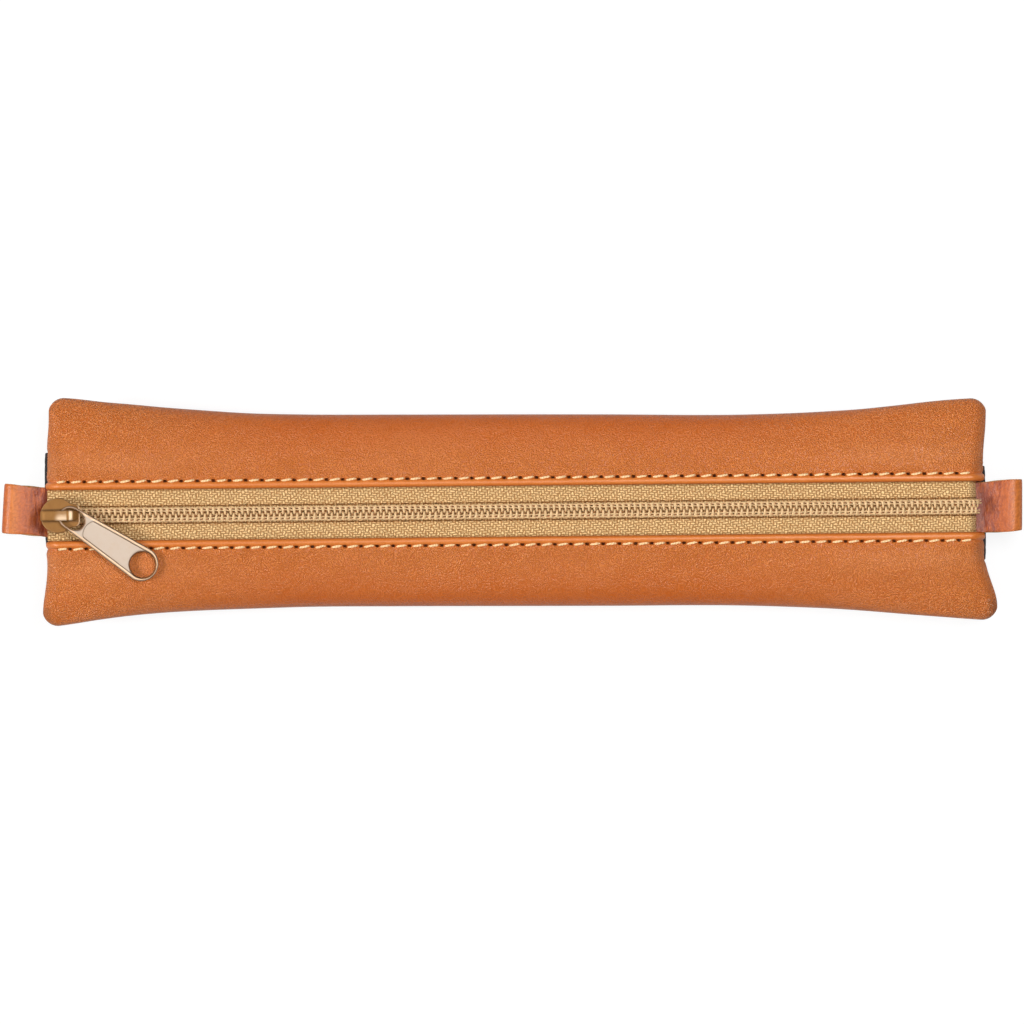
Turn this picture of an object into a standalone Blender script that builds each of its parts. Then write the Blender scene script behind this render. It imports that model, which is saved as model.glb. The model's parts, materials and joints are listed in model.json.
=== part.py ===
"""Flat leather pencil case with a long coil zip.

The case lies on its back. +X runs along the zip to the right, +Y points across
the zip, +Z points up out of the zipped face. The origin is on the rest surface,
under the middle of the case. All lengths are in metres, all angles in degrees.

The leather is one wrap: a back, two long folded sides and two closed ends. The
zipped face is two panels that hinge open along the sides. Every sheet of the
case (leather, zip tape) is read from one surface, see section_point().
"""
import math

import bmesh
import bpy
import numpy as np

# Body of the case
SEAM_REACH = 0.1040          # middle of the case to an end seam
NOSE_LENGTH = 0.0035         # the leather closes down to the seam over this length
MID_HALF_WIDTH = 0.0215      # half width of the filled middle
END_HALF_WIDTH = 0.0255      # half width of the flattened ends
CORNER_RADIUS = 0.0035       # corners of the ends, seen from above
EAR_REACH = 0.0012           # the corners stand past the middle of each end by this
FLARE_START = 0.0450         # the sides begin to spread towards the ends here
FLARE_POWER = 1.8
THIN_START = 0.0600          # the back begins to rise towards the ends here
ZIP_TOP = 0.0162             # leather beside the zip, above the rest surface
FOLD_HEIGHT = 0.0085         # widest line of the sides, in the middle
SEAM_HEIGHT = 0.0110         # end seams
BACK_HEIGHT = 0.0013         # underside of the back, in the middle
BACK_END_HEIGHT = 0.0070     # underside of the back, where the nose begins
FRONT_POWER = 2.45           # roundness of the zipped face
BACK_POWER = 3.0             # roundness of the back
LEATHER = 0.0012             # leather thickness

# Clearances
GAP = 0.0003                 # between pieces that lie on each other
SEAT_GAP = 0.00015           # between the slider's own metal pieces
OVERRUN = 0.0010             # cutters run this far past what they cut

# Mouth and moving panels
MOUTH_HALF_WIDTH = 0.0056    # zip centre to the turned edge of the leather
EDGE_ROLL = 0.0006           # width of the rolled edge
EDGE_DROP = 0.00035          # the rolled edge falls by this
PANEL_REACH = 0.0760         # the opening panels end here, left and right
PANEL_FOLD_MARGIN = 0.0009   # a panel bends this far inside the widest line of the side
PANEL_HINGE_MARGIN = 0.0013  # its hinge line lies this far outside that line
PANEL_HINGE_RISE = 0.0029    # and this far above the fold

# Zip
TAPE_THICKNESS = 0.0005
TAPE_INNER = 0.0009          # zip centre to the inner edge of a tape
TAPE_OUTER = 0.0105          # zip centre to the sewn edge of a tape
TAPE_SEAM_MARGIN = 0.0010    # end of the tape to the end seam
COIL_PITCH = 0.001283        # one tooth to the next
COIL_CHANNEL = 0.00045       # zip centre to a tooth's tip
COIL_SPINE = 0.00175         # zip centre to the linking band
COIL_OUTER = 0.00210         # zip centre to the outside of the linking band
COIL_HEIGHT = 0.0014
TOOTH_WIDTH = 0.00058
TOOTH_HEAD = 0.00078         # wider head at the tip of a tooth
TOOTH_NECK = 0.00095         # zip centre to the back of the head
COIL_LEFT_MARGIN = 0.0014    # first tooth to the left end seam
COIL_RIGHT_MARGIN = 0.0012   # last tooth to the right end seam

# Slider
SLIDER_LENGTH = 0.0091
SLIDER_HALF_WIDTH = 0.00390
SLIDER_OVERHANG = 0.0010     # the closed slider stands past the left end seam by this
PLATE_THICKNESS = 0.0010
PLATE_EDGE = 0.00030         # rounded rim of the plates
FLANGE_THICKNESS = 0.00060
LOWER_PLATE_THICKNESS = 0.0008
POST_HALF_WIDTH = 0.00025
POST_LENGTH = 0.0022
CROWN_HALF_WIDTH = 0.0011
CROWN_SETBACK = 0.0002       # front of the plate to the crown
CROWN_HEIGHT = 0.00265       # top of the crown above the upper plate
CROWN_BAR = 0.00090          # thickness of the crown's bar
CROWN_LEG = 0.0012
CROWN_FOOT = 0.0075          # outside of one leg to the outside of the other
CROWN_ROUND = 0.0009

# Puller
PULLER_PIVOT_X = 0.0008      # pivot ahead of the middle of the crown, to the right
PULLER_PIVOT_Y = 0.0003
PULLER_PIVOT_RISE = 0.0010   # pivot above the upper plate
PULLER_YAW = -30.95          # lies turned to the lower right
PULLER_TILT = 4.8            # and lowered onto the leather
PULLER_LENGTH = 0.02094      # pivot to the centre of the finger hole
PULLER_END_RADIUS = 0.0038
PULLER_HOLE_RADIUS = 0.0029
PULLER_EYE_HALF_WIDTH = 0.0029
PULLER_WIRE = 0.00055        # sides of the eye
PULLER_BAR = 0.0007          # end bar of the eye, on the pivot
PULLER_EYE_LENGTH = 0.0052   # opening of the eye along the puller
PULLER_EYE_CORNER = 0.0012
PULLER_THICKNESS = 0.0012
PULLER_EYE_THICKNESS = 0.0009
PULLER_RIM = 0.0007
PULLER_RECESS = 0.0002
PULLER_RECESS_ARC = 0.0024
PULLER_RECESS_START = 0.0062

# Elastic and end loops
ELASTIC_HALF_WIDTH = 0.0104
ELASTIC_THICKNESS = 0.0010
ELASTIC_TUCK = 0.0050        # length of its ends inside the seam
LOOP_HALF_WIDTH = 0.00555
LOOP_STRIP = 0.0009
LOOP_TUCK = 0.0055           # length of both layers inside the seam
LOOP_OUTSIDE = 0.00895       # end seam to the outside of the loop's fold
LOOP_FOLD_RADIUS = 0.00175   # middle of the strip at the fold
LOOP_NECK = 0.0006           # end seam to where the two layers part
LOOP_LAYER_GAP = 0.0002
LOOP_LEAN = 4.0              # outer ends lean towards +Y

# Places worked out from the sizes above
NOSE_START = SEAM_REACH - NOSE_LENGTH
PANEL_WIDTH_LINE = MID_HALF_WIDTH - PANEL_FOLD_MARGIN
PANEL_HINGE_Y = MID_HALF_WIDTH + PANEL_HINGE_MARGIN
PANEL_HINGE_Z = FOLD_HEIGHT + PANEL_HINGE_RISE
SLOT_HALF_WIDTH = ELASTIC_HALF_WIDTH + GAP
SLOT_ANGLE_INDEX = 2         # the slot for elastic and loop opens from this nose station
TAPE_INSET = LEATHER + GAP
COIL_BOTTOM = ZIP_TOP - LEATHER + GAP / 3
COIL_TOP = COIL_BOTTOM + COIL_HEIGHT
UPPER_PLATE_BOTTOM = COIL_TOP + GAP
UPPER_PLATE_TOP = UPPER_PLATE_BOTTOM + PLATE_THICKNESS
LOWER_PLATE_TOP = ZIP_TOP - TAPE_INSET - TAPE_THICKNESS - GAP
LOWER_PLATE_BOTTOM = LOWER_PLATE_TOP - LOWER_PLATE_THICKNESS
SLIDER_MIDDLE = SLIDER_LENGTH / 2 - SEAM_REACH - SLIDER_OVERHANG

# Grid lines
NOSE_ANGLES = (0.0, 22.5, 45.0, 67.5, 90.0)
STATION_SHARES = (0.0, 0.2, 0.4, 0.6, 0.8, 0.92)            # of PANEL_REACH
END_STATION_SHARES = (0.32, 0.66)                           # panel end to nose
FRONT_LINE_SHARES = (0.13, 0.36, 0.6, 0.8)                  # mouth edge to panel line
SIDE_LINE_SHARES = (0.4, 0.7, 0.88, 0.97, 1.0)              # panel line to side


# Small helpers
def smooth(share):
    """Ease from 0 to 1 with level ends."""
    share = np.clip(share, 0.0, 1.0)
    return share * share * (3.0 - 2.0 * share)


def clear_scene():
    for old in list(bpy.data.objects):
        bpy.data.objects.remove(old, do_unlink=True)


def make_material(name, colour, roughness, metallic=0.0):
    material = bpy.data.materials.new(name)
    material.use_nodes = True
    shader = material.node_tree.nodes["Principled BSDF"]
    shader.inputs["Base Color"].default_value = (*colour, 1.0)
    shader.inputs["Roughness"].default_value = roughness
    shader.inputs["Metallic"].default_value = metallic
    material.diffuse_color = (*colour, 1.0)
    return material


def add_mesh_object(name, points, faces, material, smooth_angle=None):
    """A mesh object in world coordinates with its faces turned outward."""
    mesh = bpy.data.meshes.new(name)
    mesh.from_pydata([tuple(point) for point in points], [], faces)
    work = bmesh.new()
    work.from_mesh(mesh)
    bmesh.ops.recalc_face_normals(work, faces=work.faces)
    if work.calc_volume(signed=True) < 0.0:
        bmesh.ops.reverse_faces(work, faces=work.faces)
    work.to_mesh(mesh)
    work.free()
    if smooth_angle is not None:
        mesh.shade_smooth()
        mesh.set_sharp_from_angle(angle=math.radians(smooth_angle))
    result = bpy.data.objects.new(name, mesh)
    bpy.context.scene.collection.objects.link(result)
    if material is not None:
        mesh.materials.append(material)
    return result


def add_empty(name, location, rotation=(0.0, 0.0, 0.0)):
    empty = bpy.data.objects.new(name, None)
    empty.location = location
    empty.rotation_euler = rotation
    bpy.context.scene.collection.objects.link(empty)
    return empty


def hang_on(child, empty):
    """Parent a piece that was made in world coordinates to the empty of its joint."""
    child.parent = empty
    child.location = [-value for value in empty.location]


def boolean(target, tool, operation):
    """Keep the tool as a hidden guide and cut or join it."""
    tool.hide_render = True
    tool.display_type = "WIRE"
    modifier = target.modifiers.new(tool.name, "BOOLEAN")
    modifier.operation = operation
    modifier.solver = "EXACT"
    modifier.object = tool


def arc_points(centre_x, centre_y, radius, start, end, steps):
    """Points on an arc, angles in degrees."""
    angles = np.radians(np.linspace(start, end, steps + 1))
    return [(centre_x + radius * math.cos(a), centre_y + radius * math.sin(a)) for a in angles]


def layered_prism(name, layers, material, smooth_angle=None):
    """Loft one outline through flat layers: layers is a list of (height, outline)."""
    count = len(layers[0][1])
    points = [(x, y, height) for height, outline in layers for x, y in outline]
    faces = []
    for level in range(len(layers) - 1):
        low = level * count
        high = low + count
        for step in range(count):
            after = (step + 1) % count
            faces.append((low + step, low + after, high + after, high + step))
    faces.append(tuple(range(count))[::-1])
    top = (len(layers) - 1) * count
    faces.append(tuple(range(top, top + count)))
    return add_mesh_object(name, points, faces, material, smooth_angle)


def ribbon(name, path, thickness, half_width, material):
    """A strip of one thickness along a path in the XZ plane, level across Y."""
    path = np.array(path)
    tangent = np.gradient(path, axis=0)
    tangent /= np.linalg.norm(tangent, axis=1)[:, None]
    normal = np.stack([-tangent[:, 1], tangent[:, 0]], axis=1)
    sides = (path + normal * thickness / 2, path - normal * thickness / 2)
    count = len(path)
    points = []
    for side in sides:
        for y in (half_width, -half_width):
            points.extend((x, y, z) for x, z in side)
    above_far, above_near, below_far, below_near = (i * count for i in range(4))
    faces = []
    for i in range(count - 1):
        j = i + 1
        faces.append((above_far + i, above_far + j, above_near + j, above_near + i))
        faces.append((below_far + j, below_far + i, below_near + i, below_near + j))
        faces.append((above_far + j, above_far + i, below_far + i, below_far + j))
        faces.append((above_near + i, above_near + j, below_near + j, below_near + i))
    last = count - 1
    faces.append((above_far, above_near, below_near, below_far))
    faces.append((above_near + last, above_far + last, below_far + last, below_near + last))
    return add_mesh_object(name, points, faces, material, 40.0)


def shell_from_grid(name, outer, inner, keep, twins, material, smooth_angle=50.0):
    """Close two point grids into one sheet with walls round the kept cells.

    twins names grid points that are one point, such as front and back at a seam.
    """
    rows, columns = outer.shape[:2]
    index = {}
    points = []

    def point_number(layer, i, j):
        i, j = twins.get((i, j), (i, j))
        key = (layer, i, j)
        if key not in index:
            index[key] = len(points)
            points.append((outer, inner)[layer][i, j])
        return index[key]

    faces = []
    edges = {}
    for i in range(rows - 1):
        for j in range(columns - 1):
            if not keep[i, j]:
                continue
            corners = [(i, j), (i + 1, j), (i + 1, j + 1), (i, j + 1)]
            above = [point_number(0, *corner) for corner in corners]
            below = [point_number(1, *corner) for corner in corners]
            faces.append(tuple(above))
            faces.append(tuple(reversed(below)))
            for k in range(4):
                m = (k + 1) % 4
                edges[(above[k], above[m])] = (below[k], below[m])
    for (start, end), (under_start, under_end) in edges.items():
        if (end, start) not in edges:
            faces.append((end, start, under_start, under_end))
    return add_mesh_object(name, points, faces, material, smooth_angle)


# Surface of the case
def half_width_at(x):
    share = np.clip((abs(x) - FLARE_START) / (NOSE_START - FLARE_START), 0.0, 1.0)
    return MID_HALF_WIDTH + (END_HALF_WIDTH - MID_HALF_WIDTH) * share ** FLARE_POWER


def end_share(x):
    """0 in the filled middle, 1 where the nose begins."""
    return float(smooth((abs(x) - THIN_START) / (NOSE_START - THIN_START)))


def section_point(x, nose_angle, y, front, inset):
    """The point of the case's surface at station x, at distance y from its middle.

    Each section is two half superellipses that meet at the fold line: the zipped
    face above and the back below. inset moves the point inward from the outside
    of the leather. nose_angle, in degrees, runs from 0 where the nose begins to
    90 at the end seam, and closes the section like a quarter of an ellipse.
    """
    turn = math.radians(nose_angle)
    thin = end_share(x)
    fold = FOLD_HEIGHT + (SEAM_HEIGHT - FOLD_HEIGHT) * thin
    width = float(half_width_at(x))
    power = FRONT_POWER if front else BACK_POWER
    if front:
        crest = (1.0 - (MOUTH_HALF_WIDTH / width) ** power) ** (1.0 / power)
        depth = (ZIP_TOP - fold) / crest
    else:
        depth = fold - BACK_HEIGHT - (BACK_END_HEIGHT - BACK_HEIGHT) * thin
    closing = 1.0 - math.cos(turn)
    outer_width = width - CORNER_RADIUS * closing
    inner_width = width - inset - (CORNER_RADIUS - inset) * closing
    y = min(abs(y), outer_width) if y >= 0.0 else -min(abs(y), outer_width)
    pull = float(smooth((abs(y) - SLOT_HALF_WIDTH) / (PANEL_WIDTH_LINE - SLOT_HALF_WIDTH)))
    inner_y = y * (1.0 - pull * (1.0 - inner_width / outer_width))
    share = min(abs(inner_y) / inner_width, 1.0)
    rise = (depth - inset) * math.cos(turn) * (1.0 - share ** power) ** (1.0 / power)
    along = abs(x) + (NOSE_LENGTH - inset) * math.sin(turn)
    ear = max(0.0, (abs(y) - SLOT_HALF_WIDTH) / (END_HALF_WIDTH - SLOT_HALF_WIDTH))
    along += EAR_REACH * ear * ear * thin
    return (math.copysign(along, x), inner_y, fold + (rise if front else -rise))


def stations():
    """Stations of the grid as (x, nose angle), from the left seam to the right one."""
    half = [(share * PANEL_REACH, 0.0) for share in STATION_SHARES]
    half.append((PANEL_REACH - GAP / 2, 0.0))
    half.append((PANEL_REACH + GAP / 2, 0.0))
    span = NOSE_START - PANEL_REACH
    half.extend((PANEL_REACH + share * span, 0.0) for share in END_STATION_SHARES)
    half.extend((NOSE_START, angle) for angle in NOSE_ANGLES)
    return [(-x, angle) for x, angle in reversed(half[1:])] + half


def half_lines(width):
    """Distances from the middle of the grid's long lines, out to the side."""
    inside = PANEL_WIDTH_LINE - GAP / 2
    outside = PANEL_WIDTH_LINE + GAP / 2
    span = inside - MOUTH_HALF_WIDTH
    lines = [MOUTH_HALF_WIDTH]
    lines.extend(MOUTH_HALF_WIDTH + share * span for share in FRONT_LINE_SHARES)
    lines[2] = SLOT_HALF_WIDTH
    lines.extend((inside, outside))
    lines.extend(outside + share * (width - outside) for share in SIDE_LINE_SHARES)
    lines[1] = MOUTH_HALF_WIDTH + EDGE_ROLL
    return sorted(lines)


HALF_COUNT = 2 + 1 + len(FRONT_LINE_SHARES) + len(SIDE_LINE_SHARES)
SIDE_INDEX = HALF_COUNT - 1


def leather_grid(inset):
    """Grid of the whole leather: mouth edge, side, back, other side, mouth edge."""
    rows = []
    for x, angle in stations():
        width = float(half_width_at(x)) - CORNER_RADIUS * (1.0 - math.cos(math.radians(angle)))
        lines = half_lines(width)
        front = [section_point(x, angle, y, True, inset) for y in lines]
        back = [section_point(x, angle, y, False, inset) for y in reversed(lines[:-1])]
        middle = [section_point(x, angle, 0.0, False, inset)]
        if inset == 0.0:
            edge = front[0]
            front[0] = (edge[0], edge[1], edge[2] - EDGE_DROP * math.cos(math.radians(angle)))
        half = front + back
        mirrored = [(px, -py, pz) for px, py, pz in reversed(half)]
        rows.append(half + middle + mirrored)
    return np.array(rows)


def leather_masks():
    """Which cells belong to the wrap, to the upper panel and to the lower panel."""
    places = stations()
    columns = 2 * (2 * HALF_COUNT - 1) + 1
    wrap = np.ones((len(places) - 1, columns - 1), dtype=bool)
    upper = np.zeros_like(wrap)
    panel_cells = HALF_COUNT - len(SIDE_LINE_SHARES) - 2
    slot_cells = sorted(half_lines(MID_HALF_WIDTH)).index(SLOT_HALF_WIDTH)
    edge_cells = 1
    nose_rings = len(NOSE_ANGLES) - 1 - SLOT_ANGLE_INDEX
    for i in range(len(places) - 1):
        middle = (abs(places[i][0]) + abs(places[i + 1][0])) / 2
        if middle < PANEL_REACH:
            wrap[i, :panel_cells + 1] = False
            if middle < PANEL_REACH - GAP / 2:
                upper[i, :panel_cells] = True
        elif middle < PANEL_REACH + GAP / 2:
            wrap[i, :panel_cells + 1] = False
        from_seam = min(i, len(places) - 2 - i)
        if from_seam < nose_rings:
            front_cells = slot_cells if from_seam == 0 else edge_cells
            wrap[i, :front_cells] = False
            first = 2 * HALF_COUNT - 2 - slot_cells
            wrap[i, first:first + slot_cells + 1] = False
    for i in range(len(places) - 1):
        wrap[i] &= wrap[i][::-1]
    return wrap, upper, upper[:, ::-1]


def seam_twins():
    """At both end seams each front point is the back point of the same distance."""
    last = len(stations()) - 1
    columns = 2 * (2 * HALF_COUNT - 1) + 1
    twins = {}
    for row in (0, last):
        for j in range(SIDE_INDEX):
            partner = 2 * SIDE_INDEX - j
            twins[(row, partner)] = (row, j)
            twins[(row, columns - 1 - partner)] = (row, columns - 1 - j)
    return twins


def build_leather(material):
    """The wrap, and the two panels that open with the zip."""
    outer = leather_grid(0.0)
    inner = leather_grid(LEATHER)
    wrap, upper, lower = leather_masks()
    twins = seam_twins()
    shell_from_grid("leather_wrap", outer, inner, wrap, twins, material)
    upper_panel = shell_from_grid("upper_front_panel", outer, inner, upper, {}, material)
    lower_panel = shell_from_grid("lower_front_panel", outer, inner, lower, {}, material)
    return upper_panel, lower_panel


# Zip
def build_tape(side, material):
    """One woven tape in three lengths: left end, moving middle, right end."""
    tongue = MOUTH_HALF_WIDTH - GAP
    lines = [TAPE_INNER, SLIDER_HALF_WIDTH, tongue, (tongue + TAPE_OUTER) / 2, TAPE_OUTER]
    middle = [share * PANEL_REACH for share in STATION_SHARES[:-1]]
    half = middle + [PANEL_REACH - GAP / 2, PANEL_REACH + GAP / 2]
    half += [(PANEL_REACH + NOSE_START) / 2, NOSE_START - GAP / 3, SEAM_REACH - TAPE_SEAM_MARGIN]
    places = [-x for x in reversed(half[1:])] + half

    def grid(inset):
        rows = []
        for x in places:
            level = min(max(x, GAP / 3 - NOSE_START), NOSE_START - GAP / 3)
            row = []
            for y in lines:
                point = section_point(level, 0.0, y, True, inset)
                row.append((x, side * y, point[2]))
            rows.append(row)
        return np.array(rows)

    outer = grid(TAPE_INSET)
    inner = grid(TAPE_INSET + TAPE_THICKNESS)
    rows = len(places) - 1
    full = np.ones((rows, len(lines) - 1), dtype=bool)
    full[0, 2:] = False
    full[-1, 2:] = False
    centre = np.array([(places[i] + places[i + 1]) / 2 for i in range(rows)])
    name = "upper_tape" if side > 0 else "lower_tape"
    masks = {
        name + "_left_end": centre < -PANEL_REACH - GAP / 4,
        name: np.abs(centre) < PANEL_REACH - GAP / 4,
        name + "_right_end": centre > PANEL_REACH + GAP / 4,
    }
    made = {}
    for piece, rows_kept in masks.items():
        keep = full & rows_kept[:, None]
        made[piece] = shell_from_grid(piece, outer, inner, keep, {}, material)
    return made[name]


def comb_outline(start, end, offset):
    """Outline of one coil side: a linking band with headed teeth towards the zip centre."""
    half_tooth = TOOTH_WIDTH / 2
    half_head = TOOTH_HEAD / 2
    first = math.ceil((start + half_head - offset) / COIL_PITCH)
    last = math.floor((end - half_head - offset) / COIL_PITCH)
    outline = [(start, COIL_OUTER), (start, COIL_SPINE)]
    for k in range(first, last + 1):
        x = k * COIL_PITCH + offset
        outline.append((x - half_tooth, COIL_SPINE))
        outline.append((x - half_tooth, TOOTH_NECK))
        outline.append((x - half_head, COIL_CHANNEL))
        outline.append((x + half_head, COIL_CHANNEL))
        outline.append((x + half_tooth, TOOTH_NECK))
        outline.append((x + half_tooth, COIL_SPINE))
    outline.append((end, COIL_SPINE))
    outline.append((end, COIL_OUTER))
    return outline


def build_coil(side, material):
    """One side of the chain in three lengths, half a pitch apart from the other side."""
    offset = COIL_PITCH / 4 if side > 0 else -COIL_PITCH / 4
    name = "upper_coil" if side > 0 else "lower_coil"
    lengths = {
        name + "_left_end": (COIL_LEFT_MARGIN - SEAM_REACH, -PANEL_REACH - GAP / 2),
        name: (-PANEL_REACH + GAP / 2, PANEL_REACH - GAP / 2),
        name + "_right_end": (PANEL_REACH + GAP / 2, SEAM_REACH - COIL_RIGHT_MARGIN),
    }
    made = {}
    for piece, (start, end) in lengths.items():
        outline = [(x, side * y) for x, y in comb_outline(start, end, offset)]
        layers = [(COIL_BOTTOM, outline), (COIL_TOP, outline)]
        made[piece] = layered_prism(piece, layers, material)
    return made[name]


# Slider
SLIDER_OUTLINE_SHARES = (
    (0.0, 0.2), (0.02, 0.36), (0.06, 0.55), (0.13, 0.76), (0.22, 0.9), (0.33, 0.98),
    (0.43, 1.0), (0.53, 0.97), (0.63, 0.9), (0.75, 0.83), (0.88, 0.79), (0.96, 0.72), (1.0, 0.55),
)
FLANGE_SHARES = SLIDER_OUTLINE_SHARES[5:11]


def slider_outline(margin):
    """Seen from above: round mouth end at the left, narrower exit at the right."""
    length = SLIDER_LENGTH - 2 * margin
    start = SLIDER_MIDDLE - length / 2
    side = [(start + s * length, w * (SLIDER_HALF_WIDTH - margin)) for s, w in SLIDER_OUTLINE_SHARES]
    return [(x, -y) for x, y in side] + [(x, y) for x, y in reversed(side)]


def flange_outline(side):
    """One edge of the upper plate, turned down beside the coil."""
    start = SLIDER_MIDDLE - SLIDER_LENGTH / 2
    along = [(start + s * SLIDER_LENGTH, w * SLIDER_HALF_WIDTH)
             for s, w in FLANGE_SHARES]
    outer = [(x, side * (y - PLATE_EDGE / 2)) for x, y in along]
    inner = [(x, side * (y - PLATE_EDGE / 2 - FLANGE_THICKNESS)) for x, y in reversed(along)]
    return outer + inner


def build_slider(material):
    """Two plates joined by a post between the tapes, with the edges turned down."""
    rim = slider_outline(PLATE_EDGE)
    full = slider_outline(0.0)
    plate = [
        (UPPER_PLATE_BOTTOM, full),
        (UPPER_PLATE_TOP - PLATE_EDGE, full),
        (UPPER_PLATE_TOP, rim),
    ]
    body = layered_prism("slider_body", plate, material, 35.0)
    flange_bottom = ZIP_TOP - TAPE_INSET + GAP * 1.5
    inside = UPPER_PLATE_BOTTOM + PLATE_THICKNESS / 2
    for side, name in ((1, "flange_upper"), (-1, "flange_lower")):
        outline = flange_outline(side)
        flange = layered_prism(name, [(flange_bottom, outline), (inside, outline)], None)
        boolean(body, flange, "UNION")
    lower = slider_outline(PLATE_EDGE)
    lower_rim = slider_outline(2 * PLATE_EDGE)
    lower_layers = [
        (LOWER_PLATE_BOTTOM, lower_rim),
        (LOWER_PLATE_BOTTOM + PLATE_EDGE, lower),
        (LOWER_PLATE_TOP, lower),
    ]
    boolean(body, layered_prism("lower_plate", lower_layers, None), "UNION")
    front = SLIDER_MIDDLE - SLIDER_LENGTH / 2 + 2 * PLATE_EDGE
    post = [
        (front, 0.0),
        (front + POST_LENGTH / 3, -POST_HALF_WIDTH),
        (front + POST_LENGTH, -POST_HALF_WIDTH / 2),
        (front + POST_LENGTH, POST_HALF_WIDTH / 2),
        (front + POST_LENGTH / 3, POST_HALF_WIDTH),
    ]
    post_bottom = LOWER_PLATE_BOTTOM + LOWER_PLATE_THICKNESS / 2
    boolean(body, layered_prism("post", [(post_bottom, post), (inside, post)], None), "UNION")
    return body


def build_crown(material):
    """The bridge on the upper plate that the puller's eye is threaded under."""
    bottom = UPPER_PLATE_TOP + SEAT_GAP
    top = UPPER_PLATE_TOP + CROWN_HEIGHT
    left = SLIDER_MIDDLE - SLIDER_LENGTH / 2 + CROWN_SETBACK
    right = left + CROWN_FOOT
    under = top - CROWN_BAR
    bend = CROWN_ROUND / 2
    profile = [
        (left, bottom),
        (left, top - CROWN_ROUND),
        (left + bend, top - bend / 2),
        (left + CROWN_ROUND, top - bend / 3),
        (right - CROWN_LEG * 1.6, top - bend / 3),
        (right - CROWN_LEG, top),
        (right - bend, top - bend / 2),
        (right, top - CROWN_ROUND * 1.4),
        (right, bottom),
        (right - CROWN_LEG, bottom),
        (right - CROWN_LEG, under - bend / 2),
        (right - CROWN_LEG - bend, under),
        (left + CROWN_LEG + bend, under),
        (left + CROWN_LEG, under - bend / 2),
        (left + CROWN_LEG, bottom),
    ]
    count = len(profile)
    points = [(x, y, z) for y in (-CROWN_HALF_WIDTH, CROWN_HALF_WIDTH) for x, z in profile]
    faces = [tuple(range(count)), tuple(range(2 * count - 1, count - 1, -1))]
    for i in range(count):
        j = (i + 1) % count
        faces.append((i, i + count, j + count, j))
    return add_mesh_object("slider_crown", points, faces, material, 35.0)


def puller_pivot():
    """World place of the pivot on the closed zip."""
    crown_middle = SLIDER_MIDDLE - SLIDER_LENGTH / 2 + CROWN_SETBACK + CROWN_FOOT / 2
    return (crown_middle + PULLER_PIVOT_X, PULLER_PIVOT_Y, UPPER_PLATE_TOP + PULLER_PIVOT_RISE)


def build_puller(empty, material):
    """Flat drop-shaped pull in its own frame: +X along it, +Y along its pivot."""
    corner = PULLER_EYE_CORNER + PULLER_WIRE
    near = -PULLER_BAR / 2
    outline = arc_points(near + corner, corner - PULLER_EYE_HALF_WIDTH, corner, 180.0, 270.0, 5)
    outline += arc_points(PULLER_LENGTH, 0.0, PULLER_END_RADIUS, -88.0, 88.0, 20)
    outline += arc_points(near + corner, PULLER_EYE_HALF_WIDTH - corner, corner, 90.0, 180.0, 5)
    half = PULLER_THICKNESS / 2
    edge = PULLER_THICKNESS / 8
    slim = [(x * (1 - edge / PULLER_LENGTH) + edge / 2, y * (1 - edge / PULLER_END_RADIUS))
            for x, y in outline]
    layers = [(-half, slim), (edge - half, outline), (half - edge, outline), (half, slim)]
    puller = layered_prism("puller", layers, material, 35.0)
    reach = half + OVERRUN

    opening = PULLER_EYE_HALF_WIDTH - PULLER_WIRE
    start = PULLER_BAR / 2
    eye = arc_points(start + PULLER_EYE_CORNER, PULLER_EYE_CORNER - opening,
                     PULLER_EYE_CORNER, 180.0, 270.0, 4)
    eye += arc_points(start + PULLER_EYE_LENGTH - opening, 0.0, opening, -90.0, 90.0, 12)
    eye += arc_points(start + PULLER_EYE_CORNER, opening - PULLER_EYE_CORNER,
                      PULLER_EYE_CORNER, 90.0, 180.0, 4)
    hole = arc_points(PULLER_LENGTH, 0.0, PULLER_HOLE_RADIUS, 0.0, 352.5, 47)[::2]
    cutters = [layered_prism("eye_opening", [(-reach, eye), (reach, eye)], None),
               layered_prism("finger_hole", [(-reach, hole), (reach, hole)], None)]

    sunk = arc_points(PULLER_RECESS_START + PULLER_RECESS_ARC, 0.0, PULLER_RECESS_ARC, 100.0, 260.0, 8)
    sunk += arc_points(PULLER_LENGTH, 0.0, PULLER_END_RADIUS - PULLER_RIM, -88.0, 88.0, 16)
    thin_start = near - OVERRUN
    thin_end = PULLER_RECESS_START - PULLER_RIM
    side = PULLER_END_RADIUS
    thin = [(thin_start, -side), (thin_end, -side), (thin_end, side), (thin_start, side)]
    eye_half = PULLER_EYE_THICKNESS / 2
    for sign, word in ((1, "top"), (-1, "bottom")):
        levels = sorted((sign * (half - PULLER_RECESS), sign * reach))
        cutters.append(layered_prism("recess_" + word, [(z, sunk) for z in levels], None))
        levels = sorted((sign * eye_half, sign * reach))
        cutters.append(layered_prism("eye_step_" + word, [(z, thin) for z in levels], None))
    for cutter in cutters:
        cutter.parent = empty
        boolean(puller, cutter, "DIFFERENCE")
    puller.parent = empty
    return puller


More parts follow.
